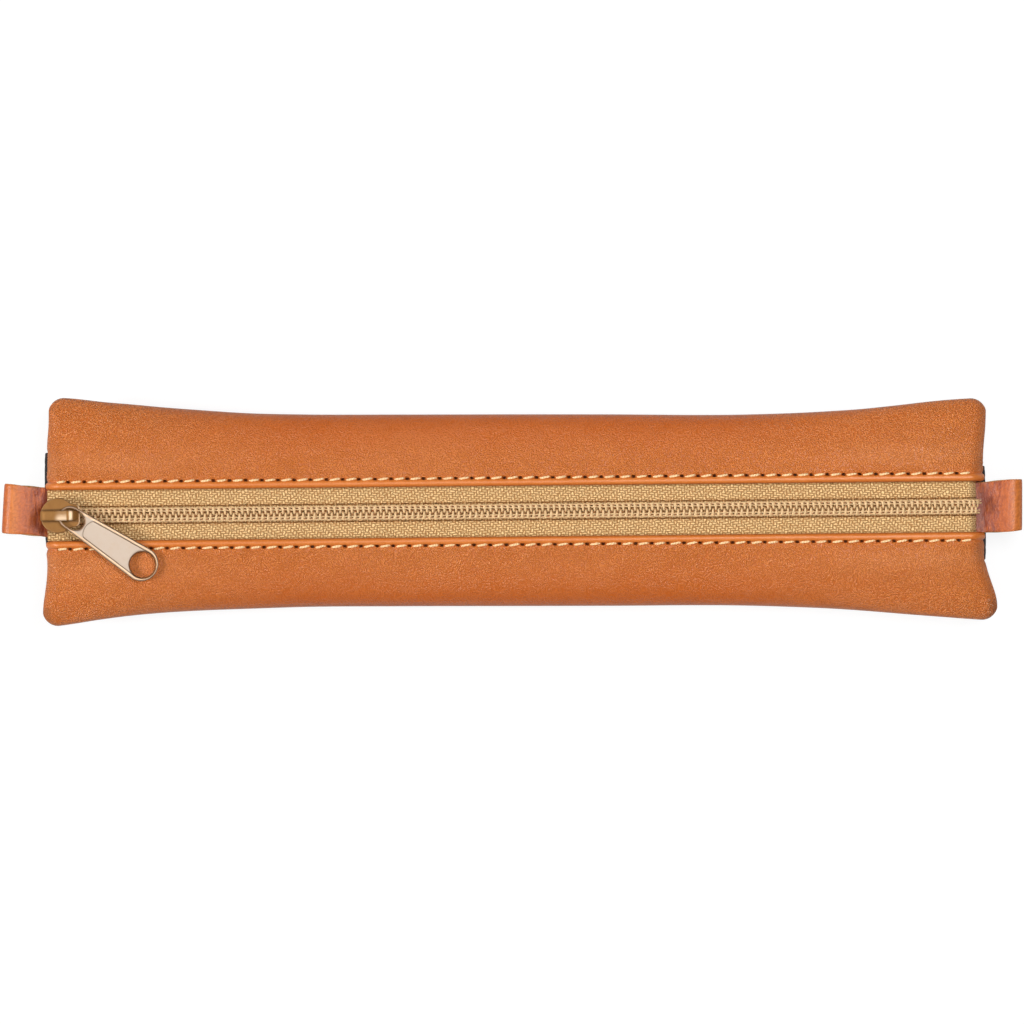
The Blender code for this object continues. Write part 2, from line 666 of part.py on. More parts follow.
# Elastic and loops
def build_elastic(material):
    """Flat band along the back, turned up round the lower noses into both end slots."""
    offset = GAP + ELASTIC_THICKNESS / 2
    half = []
    for x in np.linspace(0.0, THIN_START, 2):
        half.append((float(x), BACK_HEIGHT - offset))
    spacing = np.linspace(THIN_START, NOSE_START, 8)[1:]
    for x in spacing:
        half.append((float(x), section_point(float(x), 0.0, 0.0, False, 0.0)[2] - offset))
    depth = SEAM_HEIGHT - BACK_END_HEIGHT
    for angle in NOSE_ANGLES[1:2]:
        turn = math.radians(angle)
        normal = np.array((math.sin(turn) / NOSE_LENGTH, -math.cos(turn) / depth))
        normal /= np.linalg.norm(normal)
        half.append((NOSE_START + NOSE_LENGTH * math.sin(turn) + offset * normal[0],
                     SEAM_HEIGHT - depth * math.cos(turn) + offset * normal[1]))
    turn = math.radians(NOSE_ANGLES[SLOT_ANGLE_INDEX])
    lip_x = NOSE_START + (NOSE_LENGTH - LEATHER / 2) * math.sin(turn)
    lip_z = SEAM_HEIGHT - (depth - LEATHER / 2) * math.cos(turn)
    radius = LEATHER / 2 + GAP + ELASTIC_THICKNESS / 2
    half += arc_points(lip_x, lip_z, radius, -40.0, 90.0, 6)
    half.append((SEAM_REACH - ELASTIC_TUCK, lip_z + radius))
    path = [(-x, z) for x, z in reversed(half[1:])] + half
    return ribbon("elastic_band", path, ELASTIC_THICKNESS, ELASTIC_HALF_WIDTH, material)


def elastic_top():
    """Upper face of the elastic inside the end slot."""
    turn = math.radians(NOSE_ANGLES[SLOT_ANGLE_INDEX])
    depth = SEAM_HEIGHT - BACK_END_HEIGHT
    lip_z = SEAM_HEIGHT - (depth - LEATHER / 2) * math.cos(turn)
    return lip_z + LEATHER / 2 + GAP + ELASTIC_THICKNESS


def build_loop(side, material):
    """A leather strip folded double, both layers held in the end seam."""
    level = elastic_top() + GAP + LOOP_STRIP + LOOP_LAYER_GAP / 2
    near = (LOOP_STRIP + LOOP_LAYER_GAP) / 2
    fold_x = LOOP_OUTSIDE - LOOP_FOLD_RADIUS - LOOP_STRIP / 2
    half = [(-LOOP_TUCK, near)]
    for x in np.linspace(LOOP_NECK, fold_x, 7):
        share = (x - LOOP_NECK) / (fold_x - LOOP_NECK)
        half.append((float(x), near + (LOOP_FOLD_RADIUS - near) * float(smooth(share))))
    fold = arc_points(fold_x, 0.0, LOOP_FOLD_RADIUS, -75.0, 75.0, 10)
    path = [(x, -z) for x, z in half] + fold + [(x, z) for x, z in reversed(half)]
    path = [(side * x, level + z) for x, z in path]
    name = "right_pull_loop" if side > 0 else "left_pull_loop"
    loop = ribbon(name, path, LOOP_STRIP, LOOP_HALF_WIDTH, material)
    loop.location = (side * SEAM_REACH, 0.0, 0.0)
    loop.rotation_euler = (0.0, 0.0, math.radians(side * LOOP_LEAN))
    return loop


# The whole case
def main():
    clear_scene()
    leather = make_material("tan_leather", (0.62, 0.21, 0.07), 0.45)
    loop_leather = make_material("loop_leather", (0.52, 0.16, 0.05), 0.42)
    tape_cloth = make_material("sand_tape", (0.58, 0.37, 0.16), 0.9)
    coil_plastic = make_material("sand_coil", (0.70, 0.49, 0.24), 0.4)
    metal = make_material("antique_metal", (0.66, 0.52, 0.38), 0.35, 1.0)
    elastic = make_material("black_elastic", (0.012, 0.012, 0.014), 0.85)

    upper_panel, lower_panel = build_leather(leather)
    upper_hinge = add_empty("upper_panel_hinge", (0.0, PANEL_HINGE_Y, PANEL_HINGE_Z))
    lower_hinge = add_empty("lower_panel_hinge", (0.0, -PANEL_HINGE_Y, PANEL_HINGE_Z))
    for side, hinge, panel in ((1, upper_hinge, upper_panel), (-1, lower_hinge, lower_panel)):
        hang_on(panel, hinge)
        hang_on(build_tape(side, tape_cloth), hinge)
        hang_on(build_coil(side, coil_plastic), hinge)

    slide = add_empty("slider_slide", (SLIDER_MIDDLE, 0.0, COIL_TOP))
    body = build_slider(metal)
    hang_on(body, slide)
    for modifier in body.modifiers:
        hang_on(modifier.object, slide)
    hang_on(build_crown(metal), slide)

    pivot = puller_pivot()
    turned = (0.0, math.radians(PULLER_TILT), math.radians(PULLER_YAW))
    hinge = add_empty("puller_hinge", [p - s for p, s in zip(pivot, slide.location)], turned)
    hinge.parent = slide
    build_puller(hinge, metal)

    build_elastic(elastic)
    build_loop(-1, loop_leather)
    build_loop(1, loop_leather)


main()
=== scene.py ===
"""Detailed look of a flat leather pencil case with a long coil zip.

The frame is the packed solid model: +X runs along the zip, +Y across it and +Z
up out of the zipped face, all in metres. Each piece is a surface worked out on a
grid of points. Every point also keeps its place on the piece (along, across,
through) in an attribute named skin, which the finishes read.
"""

import json
import math

import bpy
import numpy as np
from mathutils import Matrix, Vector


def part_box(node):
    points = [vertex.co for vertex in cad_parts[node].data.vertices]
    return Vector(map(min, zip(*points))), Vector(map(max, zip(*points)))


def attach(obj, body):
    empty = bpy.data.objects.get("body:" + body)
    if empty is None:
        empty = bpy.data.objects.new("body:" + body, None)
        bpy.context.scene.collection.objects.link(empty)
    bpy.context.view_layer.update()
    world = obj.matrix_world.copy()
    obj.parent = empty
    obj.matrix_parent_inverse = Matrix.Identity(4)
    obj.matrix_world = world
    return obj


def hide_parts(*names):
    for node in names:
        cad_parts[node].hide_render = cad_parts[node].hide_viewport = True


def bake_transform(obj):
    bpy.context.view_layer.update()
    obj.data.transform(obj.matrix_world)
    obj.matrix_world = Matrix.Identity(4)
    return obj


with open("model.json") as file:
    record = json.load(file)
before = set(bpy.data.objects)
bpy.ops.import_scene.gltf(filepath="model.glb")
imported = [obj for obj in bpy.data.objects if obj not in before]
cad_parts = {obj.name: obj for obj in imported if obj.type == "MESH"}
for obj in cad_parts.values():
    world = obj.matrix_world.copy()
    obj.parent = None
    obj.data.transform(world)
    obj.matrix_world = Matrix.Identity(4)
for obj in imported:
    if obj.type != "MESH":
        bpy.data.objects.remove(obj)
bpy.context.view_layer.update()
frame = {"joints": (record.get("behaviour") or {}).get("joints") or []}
SLIDER_LOW, SLIDER_HIGH = (np.array(corner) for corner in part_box("slider_body"))
COIL_LOW, COIL_HIGH = (np.array(corner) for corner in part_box("upper_coil"))

# Out to this distance from the zip, the outline and the corners leave the leather in place.
STEADY_STRIP = 0.0107
# Place of one needle hole along each row of topstitching, by the side of the zip.
STITCH_PHASES = {1: 0.00017, -1: 0.00050}
# Lines scored into the puller: one follows its edge at a distance inside it, the other is an
# arc towards the eye, given by its centre along the puller and its radius.
SCORE_LINE = 0.00082
SCORE_ARC_CENTRE = 0.00920
SCORE_ARC_RADIUS = 0.00300
# Place along the puller where its eye ends and its flat face starts.
EYE_END = 0.0052
# The loops' places across start here, so that their pebbles aren't those of the case.
LOOP_MIDDLE = 0.0300

bl_info = {
    "name": "Flat pencil case",
    "version": (1, 0, 0),
    "blender": (4, 5, 0),
    "location": "3D View > Sidebar > Pencil Case",
    "description": "Builds the leather, zip and fittings of a flat pencil case",
    "category": "Add Mesh",
}


# Property helpers
def srgb(red, green, blue):
    """A colour written as 0 to 255 on a screen, as linear light."""
    values = np.array((red, green, blue)) / 255.0
    linear = np.where(values <= 0.04045, values / 12.92, ((values + 0.055) / 1.055) ** 2.4)
    return tuple(float(value) for value in linear)


def length(name, text, default):
    return bpy.props.FloatProperty(
        name=name, description=text, default=default, unit="LENGTH", precision=5)


def number(name, text, default):
    return bpy.props.FloatProperty(name=name, description=text, default=default, precision=4)


def angle(name, text, degrees):
    return bpy.props.FloatProperty(
        name=name, description=text, default=math.radians(degrees), unit="ROTATION")


def colour(name, text, default):
    return bpy.props.FloatVectorProperty(
        name=name, description=text, default=default, size=3, subtype="COLOR", min=0.0, max=1.0)


class LeatherSizes(bpy.types.PropertyGroup):
    """Shape of the leather wrap and its turned edges beside the zip."""

    left_seam: length("Left seam", "Middle of the case to the left end seam", 0.1037)
    right_seam: length("Right seam", "Middle of the case to the right end seam", 0.1052)
    nose: length("Nose", "Length over which the leather closes down to a seam", 0.0035)
    fullness: length("Fullness", "Added to the half width all along the case", 0.0)
    corner: length("Corner radius", "Corners of the ends, seen from above", 0.0036)
    ears: bpy.props.FloatVectorProperty(
        name="Ears",
        description="Reach of the corners: upper left, lower left, upper right, lower right",
        default=(-0.0006, 0.0011, 0.0007, 0.0028), size=4, unit="LENGTH", precision=5)
    shoulder: length("Shoulder", "The zipped face falls by this towards an end seam", 0.0011)
    left_pillow: length("Left pillow", "The zipped face swells by this at the left end", 0.0005)
    right_pillow: length("Right pillow", "The same at the right end", 0.0007)
    thin_start: length("Thin start", "The back rises from here to the ends", 0.0600)
    zip_top: length("Zip top", "Leather beside the zip, above the rest surface", 0.0162)
    fold_height: length("Fold height", "Widest line of the sides", 0.0085)
    seam_height: length("Seam height", "Height of the end seams", 0.0110)
    back_height: length("Back height", "Underside of the back", 0.0013)
    back_end_height: length("Back end height", "Underside of the back at the noses", 0.0070)
    front_power: number("Front roundness", "Superellipse power of the zipped face", 2.45)
    back_power: number("Back roundness", "Superellipse power of the back", 3.0)
    thickness: length("Leather thickness", "Thickness of the hide", 0.0012)
    mouth: length("Mouth half width", "Zip centre to the turned edge", 0.0056)
    fold_line: length("Fold line", "Zip centre to the line where a side starts", 0.0206)
    lip_width: length("Lip width", "Turned edge to the stitch row", 0.00185)
    lip_swell: length("Lip swell", "The turned edge stands up by this", 0.00042)
    stitch_depth: length("Stitch depth", "The stitch row pulls the leather in by this", 0.00022)
    bend_start: length("Bend start", "The zipped face starts to bend open here", 0.0780)
    bend_end: length("Bend end", "From here inward it swings as one piece", 0.0420)
    seam_pinch: length("Seam pinch", "Depth of the crease along an end seam", 0.0004)
    stitch_pitch: length("Stitch pitch", "One topstitch to the next", 0.00359)
    stitch_length: length("Stitch length", "Seen length of a topstitch", 0.00235)
    stitch_width: length("Stitch width", "Thickness of the thread", 0.00052)
    stitch_slant: angle("Stitch slant", "Each stitch rises to the right by this", 9.0)
    slot_left_low: length("Left slot, lower end", "Elastic leaves the left seam from here", -0.0071)
    slot_left_high: length("Left slot, upper end", "Elastic leaves it up to here", 0.0143)
    slot_right_low: length(
        "Right slot, lower end", "Elastic leaves the right seam from here", -0.0121)
    slot_right_high: length("Right slot, upper end", "Elastic leaves it up to here", 0.0093)


class ZipSizes(bpy.types.PropertyGroup):
    """Woven tape and coil."""

    pitch: length("Pitch", "One tooth to the next along one side", 0.001283)
    tape_inset: length("Tape inset", "Outside of the case to the tape", 0.0015)
    tape_thickness: length("Tape thickness", "Thickness of the tape", 0.0005)
    tape_inner: length("Tape inner edge", "Zip centre to the tape under the coil", 0.00016)
    tape_outer: length("Tape outer edge", "Zip centre to the sewn edge", 0.0105)
    groove: length("Groove", "Zip centre to the crease beside the coil", 0.00197)
    left_end: length("Left end", "Middle to the left end of the tape", 0.1033)
    right_turn: length("Right turn", "Length of tape that turns down at the right seam", 0.0042)
    filament: length("Filament", "Radius of the coil's filament", 0.000245)
    leg_rise: length("Leg rise", "Middle of the coil to the middle of a leg", 0.00043)
    reach: length("Reach", "Zip centre to the outer turns of the coil", 0.00138)
    lap: length("Lap", "Teeth reach past the zip centre by this", 0.00004)
    thread: length("Coil thread", "Radius of the threads that hold the coil", 0.00014)
    thread_line: length("Thread line", "Zip centre to the inner thread on the coil", 0.00082)
    outer_line: length("Outer thread line", "Zip centre to the outer thread on the coil", 0.00141)


class FittingSizes(bpy.types.PropertyGroup):
    """Slider, crown and puller."""

    plate_radius: length("Plate radius", "Round part of the slider's plates", 0.00388)
    neck: length("Neck half width", "Half width of the slider's rear", 0.00262)
    plate: length("Plate thickness", "Thickness of the upper plate", 0.0010)
    lower_plate: length("Lower plate", "Thickness of the lower plate", 0.0008)
    rim: length("Rim", "Rounding of the plates' rims", 0.00035)
    crown_half_width: length("Crown half width", "Half width of the bridge", 0.00112)
    crown_half: length("Crown half thickness", "Half thickness of the bridge", 0.00043)
    puller_length: length("Puller length", "Pivot to the middle of the round end", 0.02105)
    puller_end: length("Puller end", "Radius of the puller's end", 0.00387)
    puller_hole: length("Finger hole", "Radius of the finger hole", 0.00286)
    hole_shift: length(
        "Hole shift", "The finger hole lies off the middle of the end by this", 0.00040)
    puller_eye: length("Eye half width", "Half width of the puller at its eye", 0.00265)
    puller_wire: length("Eye wire", "Width of metal beside the eye", 0.00056)
    puller_across: length("Puller set across", "The puller hangs this far along its pin", 0.00062)
    puller_half: length("Puller half thickness", "Half thickness of the puller", 0.0006)
    eye_half: length("Eye half thickness", "Half thickness of the eye", 0.00045)
    puller_yaw: angle("Puller turn", "The puller lies turned by this", -33.8)
    puller_tilt: angle("Puller tilt", "The puller is lowered by this", 4.8)


class BandSizes(bpy.types.PropertyGroup):
    """Elastic band along the back, and the folded loops at both ends."""

    elastic_half: length("Elastic half width", "Half width of the elastic", 0.0103)
    elastic: length("Elastic thickness", "Thickness of the elastic", 0.0012)
    elastic_gap: length("Elastic gap", "The elastic lies this close under the leather", 0.00006)
    elastic_left: length("Elastic at left", "Middle of the elastic at the left seam", 0.0036)
    elastic_right: length("Elastic at right", "Middle of the elastic at the right seam", -0.0014)
    left_loop_half: length("Left loop half width", "Half width of the left loop", 0.00546)
    right_loop_half: length("Right loop half width", "Half width of the right loop", 0.00574)
    loop_out: length("Loops out", "The folds stand out by this beyond their solids", 0.0004)
    loop_strip: length("Loop strip", "Thickness of the strip", 0.0009)
    loop_fold: length("Loop fold", "Radius of the fold, to the middle of the strip", 0.00172)
    left_lean: angle("Left loop lean", "The left loop leans towards +Y by this", 5.8)
    right_lean: angle("Right loop lean", "The right loop leans towards +Y by this", 3.5)
    fold_skew: number(
        "Fold skew", "The left fold runs out towards -Y by this share of its width", 0.066)


class CaseColours(bpy.types.PropertyGroup):
    """Colours of the materials."""

    leather: colour("Leather", "Tan leather", srgb(209, 114, 42))
    # Leather, deep: the grain's low places, and the painted shade along the turned edge and the
    # stitch row.
    leather_deep: colour("Leather, deep", "Creases and pressed places", srgb(158, 64, 12))
    # Leather, light: the paler side of the random drift, and the painted highlight on the loops'
    # folds.
    leather_light: colour("Leather, light", "Rubbed and stretched places", srgb(214, 122, 52))
    flesh: colour("Flesh side", "Inside of the leather and its cut edges", srgb(206, 158, 108))
    tape: colour("Tape", "Woven zip tape", srgb(250, 212, 152))
    tape_deep: colour("Tape, deep", "Between the tape's threads", srgb(158, 106, 50))
    coil: colour("Coil", "Filament of the teeth", srgb(229, 193, 142))
    thread: colour("Thread", "Topstitching", srgb(250, 222, 174))
    slider: colour("Slider", "Darkened brass of the slider", srgb(158, 110, 52))
    puller: colour("Puller", "Pale face of the puller", srgb(198, 180, 163))
    puller_rim: colour("Puller rim", "Rubbed rims of the puller", srgb(234, 192, 146))
    puller_side: colour("Puller side", "Sides and grooves of the puller", srgb(138, 92, 46))
    elastic: colour("Elastic", "Black elastic", srgb(26, 24, 26))


class StageSizes(bpy.types.PropertyGroup):
    """Camera, lights and floor."""

    distance: length("Camera distance", "Camera above the zip", 2.2)
    view_width: length("View width", "Width of the picture at the zip", 0.2275)
    roll: angle("Roll", "The camera turns about its view", -0.57)
    shift_y: length("Aim", "The camera looks at this place across the zip", -0.00018)
    key: number("Key light", "Light from the left softbox", 12.0)
    side: number("Side light", "Light from the small box near the right end", 2.3)
    top: number("Top light", "Light from the wide box overhead", 11.2)
    world: number("Surrounding light", "Even light from all sides", 0.14)


# Shader maths
class Value:
    """A socket of a node tree; Python arithmetic on it adds Math nodes."""

    def __init__(self, nodes, socket):
        self.nodes = nodes
        self.socket = socket

    def maths(self, operation, *others):
        values = dict(enumerate((self, *others)))
        return self.nodes.node("ShaderNodeMath", {"operation": operation}, values)

    def __add__(self, other):
        return self.maths("ADD", other)

    def __radd__(self, other):
        return self.maths("ADD", other)

    def __sub__(self, other):
        return self.maths("SUBTRACT", other)

    def __rsub__(self, other):
        return (self * -1.0).maths("ADD", other)

    def __mul__(self, other):
        return self.maths("MULTIPLY", other)

    def __rmul__(self, other):
        return self.maths("MULTIPLY", other)

    def __truediv__(self, other):
        return self.maths("DIVIDE", other)

    def __pow__(self, other):
        return self.maths("POWER", other)

    def size(self):
        return self.maths("ABSOLUTE")

    def least(self, other):
        return self.maths("MINIMUM", other)

    def most(self, other):
        return self.maths("MAXIMUM", other)

    def sine(self):
        return self.maths("SINE")

    def floor(self):
        return self.maths("FLOOR")

    def fraction(self):
        return self.maths("FRACT")

    def ramp(self, low, high):
        """0 below low, 1 above high, eased between."""
        settings = {"interpolation_type": "SMOOTHSTEP"}
        values = {"Value": self, "From Min": low, "From Max": high}
        return self.nodes.node("ShaderNodeMapRange", settings, values)

    def bell(self, centre, width):
        """1 at centre, falling to 0 over width on both sides."""
        return 1.0 - ((self - centre).size() / width).ramp(0.0, 1.0)


class Nodes:
    """A node tree; every new node comes from node()."""

    def __init__(self, tree):
        self.tree = tree

    def put(self, socket, value):
        """Link a Value to the socket, or set the socket to a number or colour."""
        if isinstance(value, Value):
            self.tree.links.new(value.socket, socket)
        elif socket.type == "RGBA":
            socket.default_value = (*value[:3], 1.0)
        else:
            socket.default_value = value

    def node(self, kind, settings, values, output=0):
        """A node of one kind, its settings set first, then its sockets."""
        made = self.tree.nodes.new(kind)
        for key, value in settings.items():
            setattr(made, key, value)
        for key, value in values.items():
            self.put(made.inputs[key], value)
        return Value(self, made.outputs[output])


class Finish(Nodes):
    """A material with one Principled shader."""

    def __init__(self, name):
        self.material = bpy.data.materials.new(name)
        self.material.use_nodes = True
        super().__init__(self.material.node_tree)
        self.shader = self.tree.nodes["Principled BSDF"]

    def skin(self):
        """Place on the piece: along, across and through it."""
        place = self.node("ShaderNodeAttribute", {"attribute_name": "skin"}, {}, "Vector")
        parts = [self.node("ShaderNodeSeparateXYZ", {}, {0: place}, axis) for axis in "XYZ"]
        return place, *parts

    def vector(self, x, y, z=0.0):
        return self.node("ShaderNodeCombineXYZ", {}, {"X": x, "Y": y, "Z": z})

    def noise(self, place, size, detail=2.0, roughness=0.5):
        values = {"Vector": place, "Scale": 1.0 / size, "Detail": detail, "Roughness": roughness}
        return self.node("ShaderNodeTexNoise", {}, values, "Fac")

    def cells(self, place, size):
        """Distance to the nearest of many scattered centres, in cell sizes."""
        settings = {"voronoi_dimensions": "3D", "feature": "F1"}
        values = {"Vector": place, "Scale": 1.0 / size}
        return self.node("ShaderNodeTexVoronoi", settings, values, "Distance")

    def mix(self, share, first, second):
        """First colour where share is 0, second where it is 1."""
        settings = {"data_type": "RGBA", "clamp_factor": True}
        return self.node("ShaderNodeMix", settings, {0: share, 6: first, 7: second}, 2)

    def bump(self, height, distance, strength=1.0, normal=None):
        values = {"Height": height, "Distance": distance, "Strength": strength}
        if normal is not None:
            values["Normal"] = normal
        return self.node("ShaderNodeBump", {}, values)

    def shade(self, **values):
        """Link or set sockets of the shader, named with _ for a space."""
        for key, value in values.items():
            self.put(self.shader.inputs[key.replace("_", " ")], value)
        return self.material


# Finishes
def pebbles(finish, along, across, drift, width):
    """Height of a pebbled hide: soft domes with low, blurred valleys between them. The
    domes are stretched along a slanting grain, which drifts."""
    cosine, sine, stretch = 0.88, 0.47, 0.74
    stretched = finish.vector((along * cosine + across * sine + drift * 0.0020) * stretch,
                              across * cosine - along * sine + drift * 0.0014)
    dome = finish.cells(stretched, width)
    return 1.0 - (dome * dome * 1.9).least(1.0)


def leather_finish(name, colours, size, stitched=False, phase=0.0):
    """Satin tan leather: pebbled domes that catch the light, their tips painted paler,
    partly as grain tone and partly as painted glints, and a broad drift of tone.
    Painted shade deepens the outer flanks of the middle, and a painted highlight
    pales the swellings near the ends. Beside the zip, painted shade darkens the turned
    edge and the stitch row, and a needle hole, sunk by the bump and darkened with
    painted shade, lies between every two stitches. Where through is high, the finish
    is the flesh side of the hide."""
    finish = Finish(name)
    place, along, across, through = finish.skin()
    drift = finish.noise(place, 0.0055, 2.0)
    dome = pebbles(finish, along, across, drift, 0.00027)
    fine = finish.noise(place, 0.00022, 1.0, 0.5)
    broad = finish.noise(place, 0.018, 3.0, 0.6)
    # Painted shade: side deepens the outer flanks of the middle, where they turn away from the
    # light.
    side = across.ramp(0.0085, 0.0205) * (1.0 - along.size().ramp(0.045, 0.092))
    tone = finish.mix(broad.ramp(0.30, 0.72), colours.leather, colours.leather_light)
    # Painted highlight: the swellings near the ends are paled as a sheen would pale them.
    swell = across.bell(0.0115, 0.0042) * along.size().ramp(0.060, 0.086)
    tone = finish.mix(swell * 0.30, tone, srgb(238, 154, 92))
    tone = finish.mix(side * 0.62, tone, srgb(184, 80, 4))
    # The pebbles' tips are paler: partly grain tone, partly painted glints, weaker on the flanks'
    # painted shade.
    tone = finish.mix(dome.ramp(0.30, 1.0) * (0.26 - side * 0.2), tone, srgb(230, 142, 74))
    pressed = (1.0 - dome).ramp(0.08, 1.0) * 0.38 + fine.ramp(0.36, 0.72) * 0.22
    pressed = pressed * (1.0 - side * 0.5)
    relief = (dome * 1.1 - fine * 0.5) * (1.0 - side * 0.4)
    if stitched:
        row = size.mouth + size.lip_width
        hole_reach, hole_width, last_hole = 0.00052, 0.00034, 0.1012
        travel = (along - phase) / size.stitch_pitch
        gap = (travel.fraction() - 0.5).size() * size.stitch_pitch
        hole = (1.0 - (gap / hole_reach).ramp(0.30, 1.0)) * across.bell(row, hole_width)
        hole = hole * (1.0 - along.size().ramp(last_hole, last_hole + 0.0006))
        # Painted shade: edge and beside darken the turned edge and the stitch row's groove with the
        # deep leather colour.
        edge = across.ramp(size.mouth, size.mouth + 0.0004)
        beside = across.bell(row, 0.00055)
        smoother = across.ramp(row - 0.0001, row + 0.0006)
        tone = finish.mix(pressed * (0.25 + smoother * 0.75), tone, colours.leather_deep)
        tone = finish.mix((1.0 - edge) * 0.55 + beside * 0.30, tone, colours.leather_deep)
        # Painted shade: each needle hole, also sunk by the bump, is darkened to a deep brown.
        tone = finish.mix(hole * 0.95, tone, srgb(62, 22, 6))
        relief = relief * (0.15 + smoother * 0.85) - hole * 4.0
    else:
        tone = finish.mix(pressed, tone, colours.leather_deep)
    inside = through.ramp(0.35, 0.65)
    nap = finish.noise(place, 0.00012, 2.0, 0.7)
    suede = finish.mix(nap, colours.flesh, srgb(176, 124, 76))
    normal = finish.bump(relief * (1.0 - inside) + nap * inside * 1.5, 0.00014, 1.0)
    return finish.shade(
        Base_Color=finish.mix(inside, tone, suede),
        Roughness=0.30 + fine * 0.10 + inside * 0.50,
        Specular_Tint=(1.0, 0.90, 0.78),
        Specular_IOR_Level=0.58,
        Normal=normal,
    )


def loop_finish(name, colours):
    """Leather of the loops: as the case, with streaks; painted shade deepens it towards the
    seam, a painted shadow lies in the pinch there, and a painted highlight gives a paler
    band across where the strip is bent."""
    finish = Finish(name)
    place, along, across, through = finish.skin()
    drift = finish.noise(place, 0.0040, 2.0)
    dome = pebbles(finish, along, across, drift, 0.00042)
    drawn = finish.vector(along + drift * 0.0010, across * 0.22)
    streaks = finish.noise(drawn, 0.00075, 3.0, 0.6)
    fine = finish.noise(place, 0.00022, 3.0, 0.6)
    out = along.size()
    near_seam = 1.0 - out.ramp(0.0058, 0.0105)
    # Painted highlight: the band where the strip is bent is paler than the deeper tone around it.
    fold = out.bell(0.0118, 0.0020)
    tone = finish.mix(1.0 - fold, colours.leather_light, srgb(198, 98, 30))
    # Painted shadow: pinch darkens the loop where it is pinched beside the seam.
    pinch_middle = LOOP_MIDDLE - 0.0005
    pinch = (1.0 - out.ramp(0.0030, 0.0062)) * (across - pinch_middle).bell(0.0, 0.0042)
    # Painted shade: near the seam the loop is darkened, along with its streaks.
    pressed = near_seam * (0.30 + streaks.ramp(0.35, 0.65) * 0.60)
    pressed = pressed + (1.0 - dome).ramp(0.3, 0.9) * 0.24
    pressed = pressed + streaks.ramp(0.38, 0.66) * 0.20 + pinch * 0.5
    tone = finish.mix(pressed, tone, srgb(138, 54, 16))
    inside = through.ramp(0.35, 0.7)
    nap = finish.noise(place, 0.00012, 2.0, 0.7)
    suede = finish.mix(nap, colours.flesh, srgb(170, 118, 70))
    relief = dome * 0.5 - streaks * (1.2 + near_seam * 3.0) - fine * 0.4
    normal = finish.bump(relief * (1.0 - inside) + nap * inside, 0.00006, 0.8)
    return finish.shade(Base_Color=finish.mix(inside, tone, suede),
                        Roughness=0.36 + fine * 0.12 + inside * 0.45, Normal=normal)


def tape_finish(name, colours, groove):
    """Woven tape: floats two threads long lie in turn along and across the tape, each
    row one thread further on, as in a herringbone floor. Painted shade darkens it in
    the groove beside the coil, and a painted shadow of the leather lip darkens it where
    it goes under the leather."""
    finish = Finish(name)
    place, along, across, _ = finish.skin()
    thread_along, thread_across = 0.00060, 0.00048
    wave = finish.noise(place, 0.0011, 3.0, 0.6) - 0.5
    column = along / thread_along + wave * 1.7
    row = across / thread_across - wave * 1.2
    turn = ((column.floor() - row.floor()) / 4.0 + 0.125).fraction() * 4.0 - 0.5
    upright = turn.ramp(1.49, 1.51)
    run = (turn + column.fraction()) * (1.0 - upright) + (3.0 - turn + row.fraction()) * upright
    side = row.fraction() * (1.0 - upright) + column.fraction() * upright
    run = (run * 0.5 - 0.5).size() * 2.0
    side = (side - 0.5).size() * 2.0
    lift = (1.0 - run.ramp(0.45, 1.0)) * (1.0 - side.ramp(0.35, 1.0))
    tile = finish.vector(column.floor() * 0.37, row.floor() * 0.61, upright)
    uneven = finish.noise(tile, 1.0, 1.0)
    fuzz = finish.noise(place, 0.00018, 3.0, 0.7)
    height = lift * (uneven * 1.3 + 0.15) + fuzz * 0.30 - 0.08
    tone = finish.mix(height, colours.tape_deep, colours.tape)
    # Painted shade in the groove beside the coil, and a painted shadow of the leather lip along the
    # edge.
    crease = across.bell(groove, 0.00030)
    edge = across.ramp(0.0050, 0.0058)
    tone = finish.mix(crease * 0.70 + edge * 0.55, tone, srgb(146, 94, 36))
    normal = finish.bump(height - crease * 0.3, 0.00022, 0.9)
    return finish.shade(Base_Color=tone, Roughness=0.80 + fuzz * 0.15, Normal=normal)


def coil_finish(name, colours):
    """Smooth drawn filament, with painted shade making it redder where it turns under."""
    finish = Finish(name)
    place, _, _, through = finish.skin()
    fine = finish.noise(place, 0.00022, 2.0)
    # Painted shade: the lower turns of the filament are tinted redder.
    under = 1.0 - through.ramp(-0.0002, 0.00045)
    tone = finish.mix(fine * 0.25, colours.coil, srgb(206, 160, 112))
    tone = finish.mix(under, tone, srgb(226, 168, 128))
    return finish.shade(Base_Color=tone, Roughness=0.32 + fine * 0.15,
                        Normal=finish.bump(fine, 0.00002, 0.6))


def thread_finish(name, colours):
    """Twisted thread: strands run round it in a screw line."""
    finish = Finish(name)
    place, along, across, _ = finish.skin()
    lay = 0.00062
    strand = ((along / lay + across) * math.tau).sine() * 0.5 + 0.5
    fuzz = finish.noise(place, 0.00020, 2.0, 0.7)
    tone = finish.mix((1.0 - strand) * 0.55 + fuzz * 0.15, colours.thread, srgb(230, 172, 106))
    return finish.shade(Base_Color=tone, Roughness=0.55 + fuzz * 0.2,
                        Normal=finish.bump(strand + fuzz * 0.4, 0.00010, 0.9))


